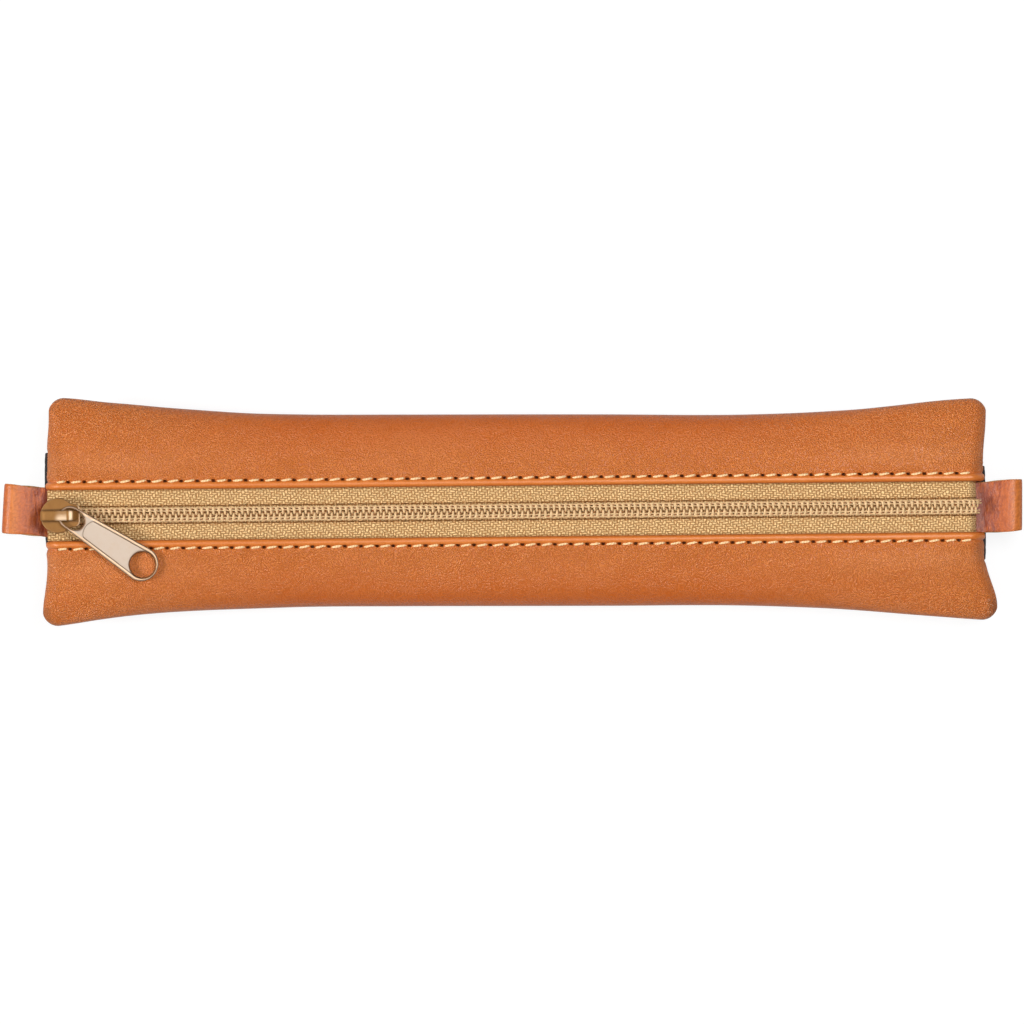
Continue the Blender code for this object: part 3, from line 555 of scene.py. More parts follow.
def brass_finish(name, colours):
    """Darkened brass of the slider: fine tumbled grain, pale where through is high,
    partly wear and partly painted highlight, and darkened by painted shade where the
    crown stands on the plate."""
    finish = Finish(name)
    place, _, across, through = finish.skin()
    grain = finish.noise(place, 0.00030, 4.0, 0.65)
    broad = finish.noise(place, 0.0024, 2.0)
    # Pale where through is high: partly wear, partly painted highlight.
    wear_and_highlight = through.ramp(0.0, 1.0)
    # Painted shade beside the crown's feet, where it stands on the plate.
    contact_shade = across.size().bell(0.00125, 0.00040) * (1.0 - wear_and_highlight)
    patina = broad.ramp(0.3, 0.75) * 0.35 + grain * 0.2
    tone = finish.mix(patina, colours.slider, srgb(128, 84, 34))
    tone = finish.mix(contact_shade * 0.55, tone, srgb(74, 44, 14))
    tone = finish.mix(wear_and_highlight * 0.9, tone, srgb(240, 208, 172))
    return finish.shade(Base_Color=tone, Metallic=0.40,
                        Roughness=0.58 - wear_and_highlight * 0.16 + grain * 0.10,
                        Normal=finish.bump(grain, 0.00002, 0.7))


def puller_finish(name, colours):
    """Puller: pale face inside the scored lines, rubbed rims, brown sides and hole wall.

    Two attributes give the distance to the outer edge (fall) and to the edge of the
    nearest hole (inner_fall).
    """
    finish = Finish(name)
    place, along, across, _ = finish.skin()
    fall = finish.node("ShaderNodeAttribute", {"attribute_name": "fall"}, {}, "Fac")
    inner = finish.node("ShaderNodeAttribute", {"attribute_name": "inner_fall"}, {}, "Fac")
    grain = finish.noise(place, 0.00035, 4.0, 0.65)
    smudge = finish.noise(place, 0.0016, 3.0, 0.6)
    slant = finish.vector(along + across, (across - along) * 0.16)
    scratch = finish.noise(slant, 0.00045, 2.0, 0.6)
    past = along - SCORE_ARC_CENTRE
    arc = (past * past + across * across) ** 0.5
    towards_eye = 1.0 - past.ramp(-0.0006, 0.0)
    arc_line = arc.bell(SCORE_ARC_RADIUS, 0.00012) * towards_eye * fall.ramp(0.00076, 0.00084)
    outside_arc = arc.ramp(SCORE_ARC_RADIUS - 0.00008, SCORE_ARC_RADIUS + 0.00008)
    field = 1.0 - outside_arc * (1.0 - past.ramp(-0.0004, 0.0))
    score = fall.bell(SCORE_LINE, 0.00021) * field
    rim = fall.bell(0.00044, 0.00028)
    flank = 1.0 - fall.ramp(0.00006, 0.00030)
    bore = 1.0 - inner.ramp(0.00014, 0.00046)
    eye_wire = 1.0 - along.ramp(EYE_END, EYE_END + 0.0010)
    tarnish = smudge.ramp(0.35, 0.8) * 0.30 + grain * 0.10
    tone = finish.mix(tarnish, colours.puller, srgb(192, 164, 138))
    tone = finish.mix(scratch.ramp(0.70, 0.86) * 0.25, tone, srgb(168, 140, 118))
    tone = finish.mix(rim * 0.85, tone, colours.puller_rim)
    tone = finish.mix(flank * 0.85 + bore * (0.90 - eye_wire * 0.25), tone, colours.puller_side)
    tone = finish.mix(score * 0.90 + arc_line * 0.6, tone, srgb(104, 68, 36))
    height = grain * 0.25 - score * 1.2 - arc_line * 1.2
    return finish.shade(Base_Color=tone, Metallic=0.45, Roughness=0.50 + grain * 0.10 - rim * 0.14,
                        Normal=finish.bump(height, 0.00004, 0.8))


def elastic_finish(name, colours):
    """Knitted black elastic: ribs along the band, crossed by rows of stitches."""
    finish = Finish(name)
    place, along, across, _ = finish.skin()
    rib_pitch, row_pitch = 0.00095, 0.00085
    rib = (across * (math.tau / rib_pitch)).sine() * 0.5 + 0.5
    row = ((along / row_pitch + rib * 0.35) * math.tau).sine() * 0.5 + 0.5
    fuzz = finish.noise(place, 0.00022, 3.0, 0.7)
    height = rib * 0.7 + row * 0.6 + fuzz * 0.3
    tone = finish.mix((row * rib) * 0.6 + fuzz * 0.25, colours.elastic, srgb(62, 58, 60))
    return finish.shade(Base_Color=tone, Roughness=0.78 + fuzz * 0.15,
                        Normal=finish.bump(height, 0.00016, 0.9))


# Meshes
def grid_quads(numbers):
    """Faces of a grid of point numbers."""
    corners = [numbers[:-1, :-1], numbers[1:, :-1], numbers[1:, 1:], numbers[:-1, 1:]]
    return np.stack(corners, axis=-1).reshape(-1, 4)


def split_quads(quads):
    """Quads with two equal corners become triangles."""
    triangles = []
    for corner in range(4):
        same = quads[:, corner] == quads[:, (corner + 1) % 4]
        keep = [other for other in range(4) if other != corner]
        triangles.append(quads[same][:, keep])
        quads = quads[~same]
    return quads, np.concatenate(triangles)


def signed_volume(points, faces):
    """Sum of the tetrahedra from the origin to each triangle; negative if inside out."""
    total = 0.0
    for group in faces:
        first = points[group[:, 0]]
        for corner in range(1, group.shape[1] - 1):
            turned = np.cross(points[group[:, corner]], points[group[:, corner + 1]])
            total += float(np.einsum("ij,ij->", first, turned))
    return total / 6.0


class Body:
    """Points, faces and skin places of one closed surface, faces outward."""

    def __init__(self, points, faces, skin, fields=None):
        faces = [group for group in faces if len(group)]
        centre = points.mean(axis=0)
        if signed_volume(points - centre, faces) < 0.0:
            faces = [group[:, ::-1] for group in faces]
        self.points, self.faces, self.skin = points, faces, skin
        self.fields = fields or {}

    def join(self, other):
        """Both surfaces as one body."""
        faces = self.faces + [group + len(self.points) for group in other.faces]
        return Body(np.concatenate([self.points, other.points]), faces,
                    np.concatenate([self.skin, other.skin]))


def put_piece(name, body, material, crease=40.0, normals=None, outer_corners=0):
    """A mesh object at the origin with its place in its points. Edges sharper than
    crease stay sharp. normals, one for each point, hold for the first outer_corners
    face corners; the others keep their own."""
    mesh = bpy.data.meshes.new(name)
    faces = [face for group in body.faces for face in group.tolist()]
    mesh.from_pydata(body.points.tolist(), [], faces)
    mesh.shade_smooth()
    mesh.set_sharp_from_angle(angle=math.radians(crease))
    layer = mesh.attributes.new("skin", "FLOAT_VECTOR", "POINT")
    layer.data.foreach_set("vector", body.skin.astype(np.float32).ravel())
    for key, values in body.fields.items():
        field = mesh.attributes.new(key, "FLOAT", "POINT")
        field.data.foreach_set("value", values.astype(np.float32).ravel())
    if normals is not None:
        corners = np.empty(len(mesh.loops), dtype=np.int32)
        mesh.loops.foreach_get("vertex_index", corners)
        turned = normals[corners]
        turned[outer_corners:] = 0.0
        mesh.normals_split_custom_set(turned.tolist())
    mesh.materials.append(material)
    piece = bpy.data.objects.new(name, mesh)
    bpy.context.scene.collection.objects.link(piece)
    return piece


def shell_body(outer, inner, skin_outer, skin_inner, joined=False):
    """A sheet between two grids with walls along its borders, and the grid points it
    uses. Where joined, both grids share the first column, so the edge is round. The
    outer quads come first."""
    rows, columns = outer.shape[:2]
    top = np.arange(rows * columns).reshape(rows, columns)
    under = top + rows * columns
    if joined:
        under[:, 0] = top[:, 0]
    walls = []
    for line, below in (
        (top[0], under[0]),
        (top[-1][::-1], under[-1][::-1]),
        (top[:, 0][::-1], under[:, 0][::-1]),
        (top[:, -1], under[:, -1]),
    ):
        walls.append(np.stack([line[:-1], line[1:], below[1:], below[:-1]], axis=-1))
    walls = np.concatenate(walls)
    if joined:
        walls = walls[~((walls[:, 0] == walls[:, 3]) & (walls[:, 1] == walls[:, 2]))]
    quads, triangles = split_quads(walls)
    faces = [grid_quads(top), grid_quads(under)[:, ::-1], quads, triangles]
    points = np.concatenate([outer.reshape(-1, 3), inner.reshape(-1, 3)])
    skin = np.concatenate([skin_outer.reshape(-1, 3), skin_inner.reshape(-1, 3)])
    used = np.unique(np.concatenate([group.ravel() for group in faces]))
    renumber = np.zeros(len(points), dtype=int)
    renumber[used] = np.arange(len(used))
    faces = [renumber[group] for group in faces]
    return Body(points[used], faces, skin[used]), used


def ring_body(rings, skin):
    """Closed bodies from rings of points: (bodies, rings, points, 3), flat at both ends."""
    if rings.ndim == 3:
        rings, skin = rings[None], skin[None]
    bodies, steps, around = rings.shape[:3]
    numbers = np.arange(bodies * steps * around).reshape(bodies, steps, around)
    following = np.roll(numbers, -1, axis=2)
    corners = [numbers[:, :-1], numbers[:, 1:], following[:, 1:], following[:, :-1]]
    sides = np.stack(corners, axis=-1).reshape(-1, 4)
    faces = [sides, numbers[:, 0], numbers[:, -1, ::-1]]
    return Body(rings.reshape(-1, 3), faces, skin.reshape(-1, 3))


def stacked(*columns):
    """Columns of any shapes that fit each other, side by side as the last axis."""
    return np.stack(np.broadcast_arrays(*columns), axis=-1)


def unit(vectors):
    return vectors / np.maximum(np.linalg.norm(vectors, axis=-1, keepdims=True), 1e-12)


def round_section(count, width, height, power=2.0):
    """Superellipse of a strip's cross-section: (across, up) points."""
    turn = np.linspace(0.0, math.tau, count, endpoint=False) + math.pi / count
    cosine, sine = np.cos(turn), np.sin(turn)
    across = np.sign(cosine) * np.abs(cosine) ** (2.0 / power) * width
    up = np.sign(sine) * np.abs(sine) ** (2.0 / power) * height
    return np.stack([across, up], axis=-1)


def smooth(share):
    """Eased step: 0 below 0, 1 above 1, share^2 (3 - 2 share) between."""
    share = np.clip(share, 0.0, 1.0)
    return share * share * (3.0 - 2.0 * share)


def round_off(fall, reach):
    """Quarter circle: 0 at an edge, 1 from reach inward, (1 - (1 - fall / reach)^2)^(1/2)."""
    return np.sqrt(np.clip(1.0 - (1.0 - np.clip(fall / reach, 0.0, 1.0)) ** 2, 0.0, 1.0))


def spread_evenly(path, count):
    """Points at equal distances along a path, and those distances."""
    steps = np.linalg.norm(np.diff(path, axis=0), axis=1)
    travel = np.concatenate([[0.0], np.cumsum(steps)])
    places = np.linspace(0.0, travel[-1], count)
    return np.stack([np.interp(places, travel, column) for column in path.T], axis=-1), places


def smooth_path(points, count):
    """Points spread evenly along a path whose corners are rounded by averaging."""
    points = np.array(points, dtype=float)
    for _ in range(3):
        middle = np.empty((2 * len(points) - 2, points.shape[1]))
        middle[0::2] = 0.75 * points[:-1] + 0.25 * points[1:]
        middle[1::2] = 0.25 * points[:-1] + 0.75 * points[1:]
        points = np.concatenate([points[:1], middle, points[-1:]])
    return spread_evenly(points, count)[0]


def upright(path, y):
    """A path of (x, z) points set at y, and its unit normals in the plane of X and Z."""
    forward = unit(np.gradient(path, axis=0))
    return stacked(path[:, 0], y, path[:, 1]), stacked(-forward[:, 1], 0.0, forward[:, 0])


# Surface of the case
def by_end(x, left, right):
    """The left value where x is negative, the right one elsewhere."""
    return np.where(x < 0.0, left, right)


def slot_share(size, x, y):
    """1 where the elastic and loop leave an end seam, 0 beside them."""
    low = by_end(x, size.slot_left_low, size.slot_right_low)
    high = by_end(x, size.slot_left_high, size.slot_right_high)
    margin = 0.0012
    return smooth((y - low + margin) / margin) * smooth((high + margin - y) / margin)


# Half widths of the case above and below its zip, in millimetres, at stations along it.
WIDTH_STATIONS = np.array((
    -103, -98, -91, -85, -78, -69, -58, -47, -25, 0, 20, 53, 64, 71, 77, 86, 93, 98, 102, 106))
UPPER_WIDTHS = np.array((
    26.4, 26.05, 25.2, 24.65, 23.95, 23.2, 22.4, 22.05, 21.8, 21.6,
    21.4, 21.05, 21.3, 21.6, 21.95, 22.8, 23.55, 23.95, 24.15, 24.2))
LOWER_WIDTHS = np.array((
    24.9, 24.3, 23.25, 22.5, 21.9, 21.45, 21.15, 20.9, 20.95, 21.15,
    21.3, 21.6, 22.05, 22.45, 22.95, 23.85, 24.5, 24.95, 25.25, 25.4))


def half_width(size, x, y):
    """Half width of the case at x on y's side: cubic pieces through the stations, whose
    slope at each station is that of its two neighbours."""
    place = np.clip(x * 1000.0, WIDTH_STATIONS[0], WIDTH_STATIONS[-1])
    last = len(WIDTH_STATIONS) - 2
    piece = np.clip(np.searchsorted(WIDTH_STATIONS, place, side="right") - 1, 0, last)
    gap = (WIDTH_STATIONS[piece + 1] - WIDTH_STATIONS[piece]).astype(float)
    share = (place - WIDTH_STATIONS[piece]) / gap
    width = np.zeros(np.shape(place))
    for above, table in ((True, UPPER_WIDTHS), (False, LOWER_WIDTHS)):
        slope = np.gradient(table, WIDTH_STATIONS)
        start, end = table[piece], table[piece + 1]
        rise = (start * (1 + 2 * share) + gap * slope[piece] * share) * (1 - share) ** 2
        fall = (end * (3 - 2 * share) + gap * slope[piece + 1] * (share - 1)) * share ** 2
        width = np.where((y > 0.0) == above, rise + fall, width)
    return width / 1000.0 + size.fullness


def pillow(size, x, y):
    """Swelling of the zipped face beside its sewn end: a ridge along the case that
    starts and ends softly, A exp(-((|y| - c) / w)^2), less a fall towards the seam."""
    reach = by_end(x, size.left_seam, size.right_seam)
    ridge_start, ridge_run = 0.055, 0.028
    end_start, end_run = 0.022, 0.020
    rise = smooth((np.abs(x) - ridge_start) / ridge_run)
    rise = rise * (1.0 - 0.9 * smooth((np.abs(x) - reach + end_start) / end_run))
    centre, spread = by_end(x, 0.0170, 0.0122), by_end(x, 0.0050, 0.0042)
    height = by_end(x, size.left_pillow, size.right_pillow)
    fall_start, fall_run = 0.016, 0.0125
    beside_zip, beside_run = 0.0068, 0.0050
    fall = np.clip((np.abs(x) - reach + fall_start) / fall_run, 0.0, 1.3) ** 2
    fall = size.shoulder * fall * smooth((np.abs(y) - beside_zip) / beside_run)
    return height * rise * np.exp(-((np.abs(y) - centre) / spread) ** 2) - fall


def section(size, x, turn, y, front, inset):
    """Point of the case at station x and distance y from the zip.

    Each section is two half superellipses that meet at the fold: z = fold + depth
    (1 - |y / width|^p)^(1/p). Over a nose, turn runs from 0 to a quarter circle
    and closes the section like an ellipse, less so where a slot holds it open. The
    corners stand out as ears. inset moves the point inward.
    """
    x, turn, y, front, inset = np.broadcast_arrays(x, turn, y, front, inset)
    reach = by_end(x, size.left_seam, size.right_seam)
    nose = reach - size.nose
    width = half_width(size, x, y)
    thin = smooth((np.abs(x) - size.thin_start) / (nose - size.thin_start))
    fold = size.fold_height + (size.seam_height - size.fold_height) * thin
    power = np.where(front, size.front_power, size.back_power)
    crest = (1.0 - (size.mouth / width) ** power) ** (1.0 / power)
    front_depth = (size.zip_top - fold) / crest
    back_depth = fold - size.back_height - (size.back_end_height - size.back_height) * thin
    depth = np.where(front, front_depth, back_depth)
    # A slot takes these shares off the turn of the nose, so that it gapes.
    front_gape, back_gape = 0.30, 0.46
    turn = turn * (1.0 - np.where(front, front_gape, back_gape) * slot_share(size, x, y))
    closing = 1.0 - np.cos(turn)
    outer_width = width - size.corner * closing
    inner_width = width - inset - (size.corner - inset) * closing
    y = np.clip(y, -outer_width, outer_width)
    pull = smooth((np.abs(y) - STEADY_STRIP) / (size.fold_line - STEADY_STRIP))
    inner_y = y * (1.0 - pull * (1.0 - inner_width / outer_width))
    share = np.clip(np.abs(inner_y) / inner_width, 0.0, 1.0)
    rise = (depth - inset) * np.cos(turn) * (1.0 - share ** power) ** (1.0 / power)
    rise = rise + np.where(front, pillow(size, x, y), 0.0) * np.cos(turn)
    upper_left, lower_left, upper_right, lower_right = size.ears
    ear = np.where(y < 0.0, by_end(x, lower_left, lower_right), by_end(x, upper_left, upper_right))
    ear_run, pinch_turn = 0.0115, 0.16
    ear = ear * smooth((np.abs(y) - STEADY_STRIP) / ear_run) * thin
    pinch = size.seam_pinch * np.exp(-((math.pi / 2 - turn) / pinch_turn) ** 2)
    along = np.abs(x) + (size.nose - inset) * np.sin(turn) + ear - pinch
    return np.stack([np.copysign(along, x), inner_y, fold + np.where(front, rise, -rise)], axis=-1)


def stations(size, step=0.0006, rings=12):
    """Stations from the left seam to the right one as x and turn of the nose, and the
    number of the one in the middle."""
    turns = np.linspace(0.0, math.pi / 2, rings + 1)
    left = size.left_seam - size.nose
    right = size.right_seam - size.nose
    x_left = -np.linspace(left, 0.0, round(left / step) + 1)
    x_right = np.linspace(0.0, right, round(right / step) + 1)[1:]
    x = np.concatenate([np.full(rings, -left), x_left, x_right, np.full(rings, right)])
    turn = np.concatenate([turns[:0:-1], np.zeros(len(x_left) + len(x_right)), turns[1:]])
    return x, turn, rings + len(x_left) - 1


def stitch_wave(size, x, phase):
    """1 at a needle hole, 0 in the middle of a stitch."""
    return 0.5 - 0.5 * np.cos(math.tau * (x - phase) / size.stitch_pitch)


def lip_relief(size, x, across, phase):
    """Height added beside the zip, as that of the round edge, which the inside takes
    with the other sign, and that of the outside alone: a swollen lip, the pulled-in
    stitch row with a dip at each needle hole, and a low shoulder."""
    radius = size.thickness / 2
    edge = -radius * (1.0 - np.sqrt(1.0 - (1.0 - np.clip(across / radius, 0.0, 1.0)) ** 2))
    swell = size.lip_swell * np.sin(math.pi * np.clip(across / size.lip_width, 0.0, 1.0)) ** 0.8
    hole = stitch_wave(size, x, phase) ** 3
    valley_width = 0.00030
    valley = -size.stitch_depth * np.exp(-((across - size.lip_width) / valley_width) ** 2)
    valley = valley * (0.7 + 0.8 * hole)
    shoulder_height, shoulder_place, shoulder_width = 0.00014, 0.0012, 0.0007
    shoulder = across - size.lip_width - shoulder_place
    shoulder = shoulder_height * np.exp(-(shoulder / shoulder_width) ** 2)
    shoulder = shoulder * (1.0 - 0.35 * hole)
    return edge, swell + valley + shoulder


def soft_waves(x, y):
    """Low waves of a filled hide, a sum of slow sines."""
    return (0.00007 * np.sin(x * 95.0 + 1.3 * np.sin(y * 210.0))
            + 0.00005 * np.sin(x * 171.0 - y * 140.0 + 0.8)
            + 0.00004 * np.sin(x * 41.0 + y * 260.0))


def grid_normals(points, guide):
    """Unit normals of a grid from its central differences, on the guide's side."""
    normals = unit(np.cross(np.gradient(points, axis=0), np.gradient(points, axis=1)))
    flip = np.sign(np.einsum("ijk,ijk->ij", normals, guide))
    return normals * np.where(flip == 0.0, 1.0, flip)[..., None]


def skin_places(size, x, turn, across, through):
    """Along, across and through for a grid of leather points. Over a nose, along runs
    on with the turn at about the length of the arc."""
    nose = by_end(x, size.left_seam, size.right_seam) - size.nose
    along = np.copysign(np.abs(x) + turn * size.nose * 1.25, x)
    along = np.where(np.abs(x) < nose - 1e-9, x, along)
    return stacked(along[:, None], across, through)


def front_grids(size, side):
    """Outside and inside of the zipped face on one side of the zip: the section's
    surface with the relief of the lip and low waves added upward. Two columns beyond
    the fold line only steer the normals."""
    x, turn, middle = stations(size)
    near = np.array([0.0, 0.03, 0.09, 0.18, 0.30, 0.46, 0.66, 0.88, 1.12, 1.34, 1.50, 1.64,
                     1.75, 1.85, 1.95, 2.06, 2.20, 2.40, 2.70, 3.10, 3.60]) / 1000.0
    far = np.linspace(near[-1], size.fold_line - size.mouth, 17)[1:]
    beyond = far[-1] + np.array([0.0004, 0.0008])
    across = np.concatenate([near, far, beyond])
    y = side * (across + size.mouth)
    edge, relief = lip_relief(size, x[:, None], across[None], STITCH_PHASES[side])
    waves = soft_waves(x[:, None], y[None]) * smooth((across - 0.0018) / 0.004)
    fade = 1.0 - smooth((across - 0.0105) / 0.004)
    waves = waves * fade[None]
    up = np.stack([np.sin(turn) * np.sign(x), np.zeros_like(x), np.cos(turn)], axis=-1)[:, None]
    outer = section(size, x[:, None], turn[:, None], y[None], True, 0.0)
    outer = outer + up * (edge + relief + waves)[..., None]
    inner = section(size, x[:, None], turn[:, None], y[None], True, size.thickness)
    inner = inner + up * (waves - edge)[..., None]
    normals = grid_normals(outer, np.broadcast_to(up + np.array([0.0, 0.0, 0.2]), outer.shape))
    grid_across = np.broadcast_to(across + size.mouth, outer.shape[:2])
    skins = [skin_places(size, x, turn, grid_across, through) for through in (0.0, 1.0)]
    skins[1][:, -3, 2] = 0.0
    return outer[:, :-2], inner[:, :-2], normals[:, :-2], [skin[:, :-2] for skin in skins], middle


def wrap_grids(size):
    """Outside and inside of the sides and back, from fold line to fold line.

    The lines follow the superellipse angle q with |y / width| = sin(q)^(2/p), from
    the fold line out to the side and back under to the middle. Two columns before each
    fold line only steer the normals.
    """
    x, turn, _ = stations(size)
    halves = []
    for side in (1.0, -1.0):
        width = half_width(size, x, np.full_like(x, side)) - size.corner * (1.0 - np.cos(turn))
        start = np.arcsin(np.clip(size.fold_line / width, 0.0, 1.0) ** (size.front_power / 2))
        steps = np.linspace(0.0, 1.0, 10)
        angles = start[:, None] + (math.pi / 2 - start[:, None]) * steps
        front_y = width[:, None] * np.sin(angles) ** (2.0 / size.front_power)
        front_y[:, 0] = size.fold_line
        lead = np.array((size.fold_line - 0.0008, size.fold_line - 0.0004))
        lead = np.broadcast_to(lead, (len(x), 2))
        back_angles = np.linspace(math.pi / 2, 0.0, 27)[1:]
        back_y = width[:, None] * np.sin(back_angles)[None] ** (2.0 / size.back_power)
        halves.append(side * np.concatenate([lead, front_y, back_y], axis=1))
    half_front = np.arange(halves[0].shape[1]) < lead.shape[1] + front_y.shape[1]
    y = np.concatenate([halves[0], halves[1][:, -2::-1]], axis=1)
    front = np.concatenate([half_front, half_front[-2::-1]])
    outer = section(size, x[:, None], turn[:, None], y, front[None], 0.0)
    inner = section(size, x[:, None], turn[:, None], y, front[None], size.thickness)
    core = outer * (0.96, 0.0, 0.0) + (0.0, 0.0, 0.0098)
    normals = grid_normals(outer, outer - core)
    travel = np.linalg.norm(np.diff(outer, axis=1), axis=2)
    travel = np.concatenate([np.zeros((len(x), 1)), np.cumsum(travel, axis=1)], axis=1)
    across = size.fold_line - 0.0008 + travel
    skins = [skin_places(size, x, turn, across, through) for through in (0.0, 1.0)]
    skins[1][:, [2, -3], 2] = 0.0
    cut = slice(2, -2)
    return outer[:, cut], inner[:, cut], normals[:, cut], [skin[:, cut] for skin in skins]


def zip_point(size, along, y, inset):
    """Point on or under the zipped face at a length along the zip. Past the right
    nose the zip turns down into the seam; at the left it runs on level."""
    left = size.left_seam - size.nose
    right = size.right_seam - size.nose
    bend_radius, steepest = 0.0033, 1.35
    over = np.clip(along - right, 0.0, None)
    turn = np.clip(over / bend_radius, 0.0, steepest)
    x = np.clip(along, -left, right)
    points = section(size, x, turn, y, True, inset)
    level = along < -left
    points[..., 0] = np.where(level, along, points[..., 0])
    return points


# Operators
def coil_depth(size):
    """Depth of the coil's middle below the zipped face."""
    surface = float(zip_point(size, np.array(0.0), np.array(0.0), 0.0)[2])
    return surface - (COIL_LOW[2] + COIL_HIGH[2]) / 2


def bend_with_panel(piece):
    """Bake the piece's place into its points; it is not bent or swung with a panel."""
    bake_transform(piece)


def quarters():
    """Names, side of the zip and end of the four quarters of the zipped face."""
    return [(f"{word}_{hand}", side, end)
            for word, side in (("upper", 1), ("lower", -1))
            for hand, end in (("left", -1), ("right", 1))]


def put_leather(name, outer, inner, normals, skins, material, joined):
    """A sheet of leather whose outside keeps the normals of its whole surface."""
    body, used = shell_body(outer, inner, *skins, joined)
    normals = normals.reshape(-1, 3)
    corners = 4 * (outer.shape[0] - 1) * (outer.shape[1] - 1)
    return put_piece(name, body, material, 50.0, np.concatenate([normals, -normals])[used], corners)


class PENCILCASE_OT_leather(bpy.types.Operator):
    """Build the zipped face in four quarters, and the sides and back."""

    bl_idname = "pencil_case.leather"
    bl_label = "Leather"

    def execute(self, context):
        size, colours = context.scene.case_leather, context.scene.case_colours
        plain = leather_finish("tan_leather", colours, size)
        for word, side in (("upper", 1), ("lower", -1)):
            stitched = leather_finish(f"stitched_leather_{word}", colours, size, True,
                                      STITCH_PHASES[side])
            outer, inner, normals, skins, middle = front_grids(size, side)
            for hand, end in (("left", -1), ("right", 1)):
                rows = slice(0, middle + 1) if end < 0 else slice(middle, None)
                piece = put_leather(f"{word}_{hand}_face", outer[rows], inner[rows], normals[rows],
                                    [skin[rows] for skin in skins], stitched, True)
                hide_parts(f"{word}_front_panel")
                bend_with_panel(piece)
                strip = put_piece(f"{word}_{hand}_fold_strip", self.fold_strip(size, side, end),
                                  plain, 50.0)
                bend_with_panel(strip)
        wrap = put_leather("sides_and_back", *wrap_grids(size), plain, False)
        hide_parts("leather_wrap")
        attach(wrap, "case")
        return {"FINISHED"}

    def fold_strip(self, size, side, end):
        """Thin strip inside the fold, between two insets of the zipped face, from above
        the fold line down to the widest line. It keeps the fold closed where the
        panel rises from the side."""
        overlap, gap, thickness = 0.0024, 0.00003, 0.0003
        x = end * np.linspace(0.0, size.bend_start + 0.003, 136)
        width = half_width(size, x, np.full_like(x, side))[:, None]
        start = np.arcsin(((size.fold_line - overlap) / width) ** (size.front_power / 2))
        angles = start + (math.pi / 2 - start) * np.linspace(0.0, 1.0, 10)
        y = side * width * np.sin(angles) ** (2.0 / size.front_power)
        under = size.thickness + gap
        outer = section(size, x[:, None], 0.0, y, True, under)
        inner = section(size, x[:, None], 0.0, y, True, under + thickness)
        rings = np.concatenate([outer, inner[:, ::-1]], axis=1)
        skin = stacked(rings[..., 0], np.abs(rings[..., 1]), 1.0)
        return ring_body(rings, skin)


class PENCILCASE_OT_topstitch(bpy.types.Operator):
    """Build both rows of topstitching, each stitch a short arched spindle of thread."""

    bl_idname = "pencil_case.topstitch"
    bl_label = "Topstitching"

    def execute(self, context):
        size = context.scene.case_leather
        finish = thread_finish("sewing_thread", context.scene.case_colours)
        for name, side, end in quarters():
            phase = STITCH_PHASES[side]
            reach = (size.left_seam if end < 0 else size.right_seam) - 0.0012
            first = math.ceil((-reach - phase) / size.stitch_pitch)
            last = math.floor((reach - phase) / size.stitch_pitch)
            centres = np.arange(first, last + 1) * size.stitch_pitch + phase
            stitches = self.stitches(size, side, centres[centres * end > 0.0])
            piece = put_piece(f"{name}_stitches", stitches, finish, 60.0)
            bend_with_panel(piece)
        return {"FINISHED"}

    def stitches(self, size, side, centres):
        """Rings of a spindle: radius r(t) = width/2 (1 - |t|^4)^(1/2), arched by a
        parabola that dips into the needle holes at both ends."""
        t = np.linspace(-1.0, 1.0, 9)
        vary = 0.5 + 0.5 * np.sin(centres * 5100.0 + side)
        half = size.stitch_length * (0.52 + 0.04 * vary)
        along = centres[:, None] + half[:, None] * t
        slope = math.tan(size.stitch_slant) * (0.8 + 0.4 * vary)[:, None]
        y = side * (size.mouth + size.lip_width) + slope * (along - centres[:, None])
        nose = by_end(along, size.left_seam, size.right_seam) - size.nose
        over = np.clip(np.abs(along) - nose, 0.0, None)
        turn = np.arcsin(np.clip(over / size.nose, 0.0, 0.95))
        place = section(size, np.clip(along, -nose, nose), turn, y, True, 0.0)
        arch, dip, sunk = 0.00016, 0.00030, 0.00002
        lift = arch * (1.0 - t ** 2) - dip * np.abs(t) ** 5
        up = np.stack([np.sin(turn) * np.sign(along), np.zeros_like(along), np.cos(turn)], axis=-1)
        place = place + up * (lift - sunk)[None, :, None]
        radius = size.stitch_width / 2 * np.sqrt(np.clip(1.0 - np.abs(t) ** 4, 0.03, 1.0))
        ring = round_section(6, 1.0, 0.85)
        forward = unit(np.gradient(place, axis=1))
        sideways = unit(np.cross(up, forward))
        lifted = np.cross(forward, sideways)
        rings = (place[:, :, None]
                 + sideways[:, :, None] * (ring[:, 0] * radius[:, None])[None, :, :, None]
                 + lifted[:, :, None] * (ring[:, 1] * radius[:, None])[None, :, :, None])
        around = np.linspace(0.0, 1.0, 6, endpoint=False)
        skin = stacked(along[:, :, None], around[None, None, :], 0.0)
        return ring_body(rings, skin)


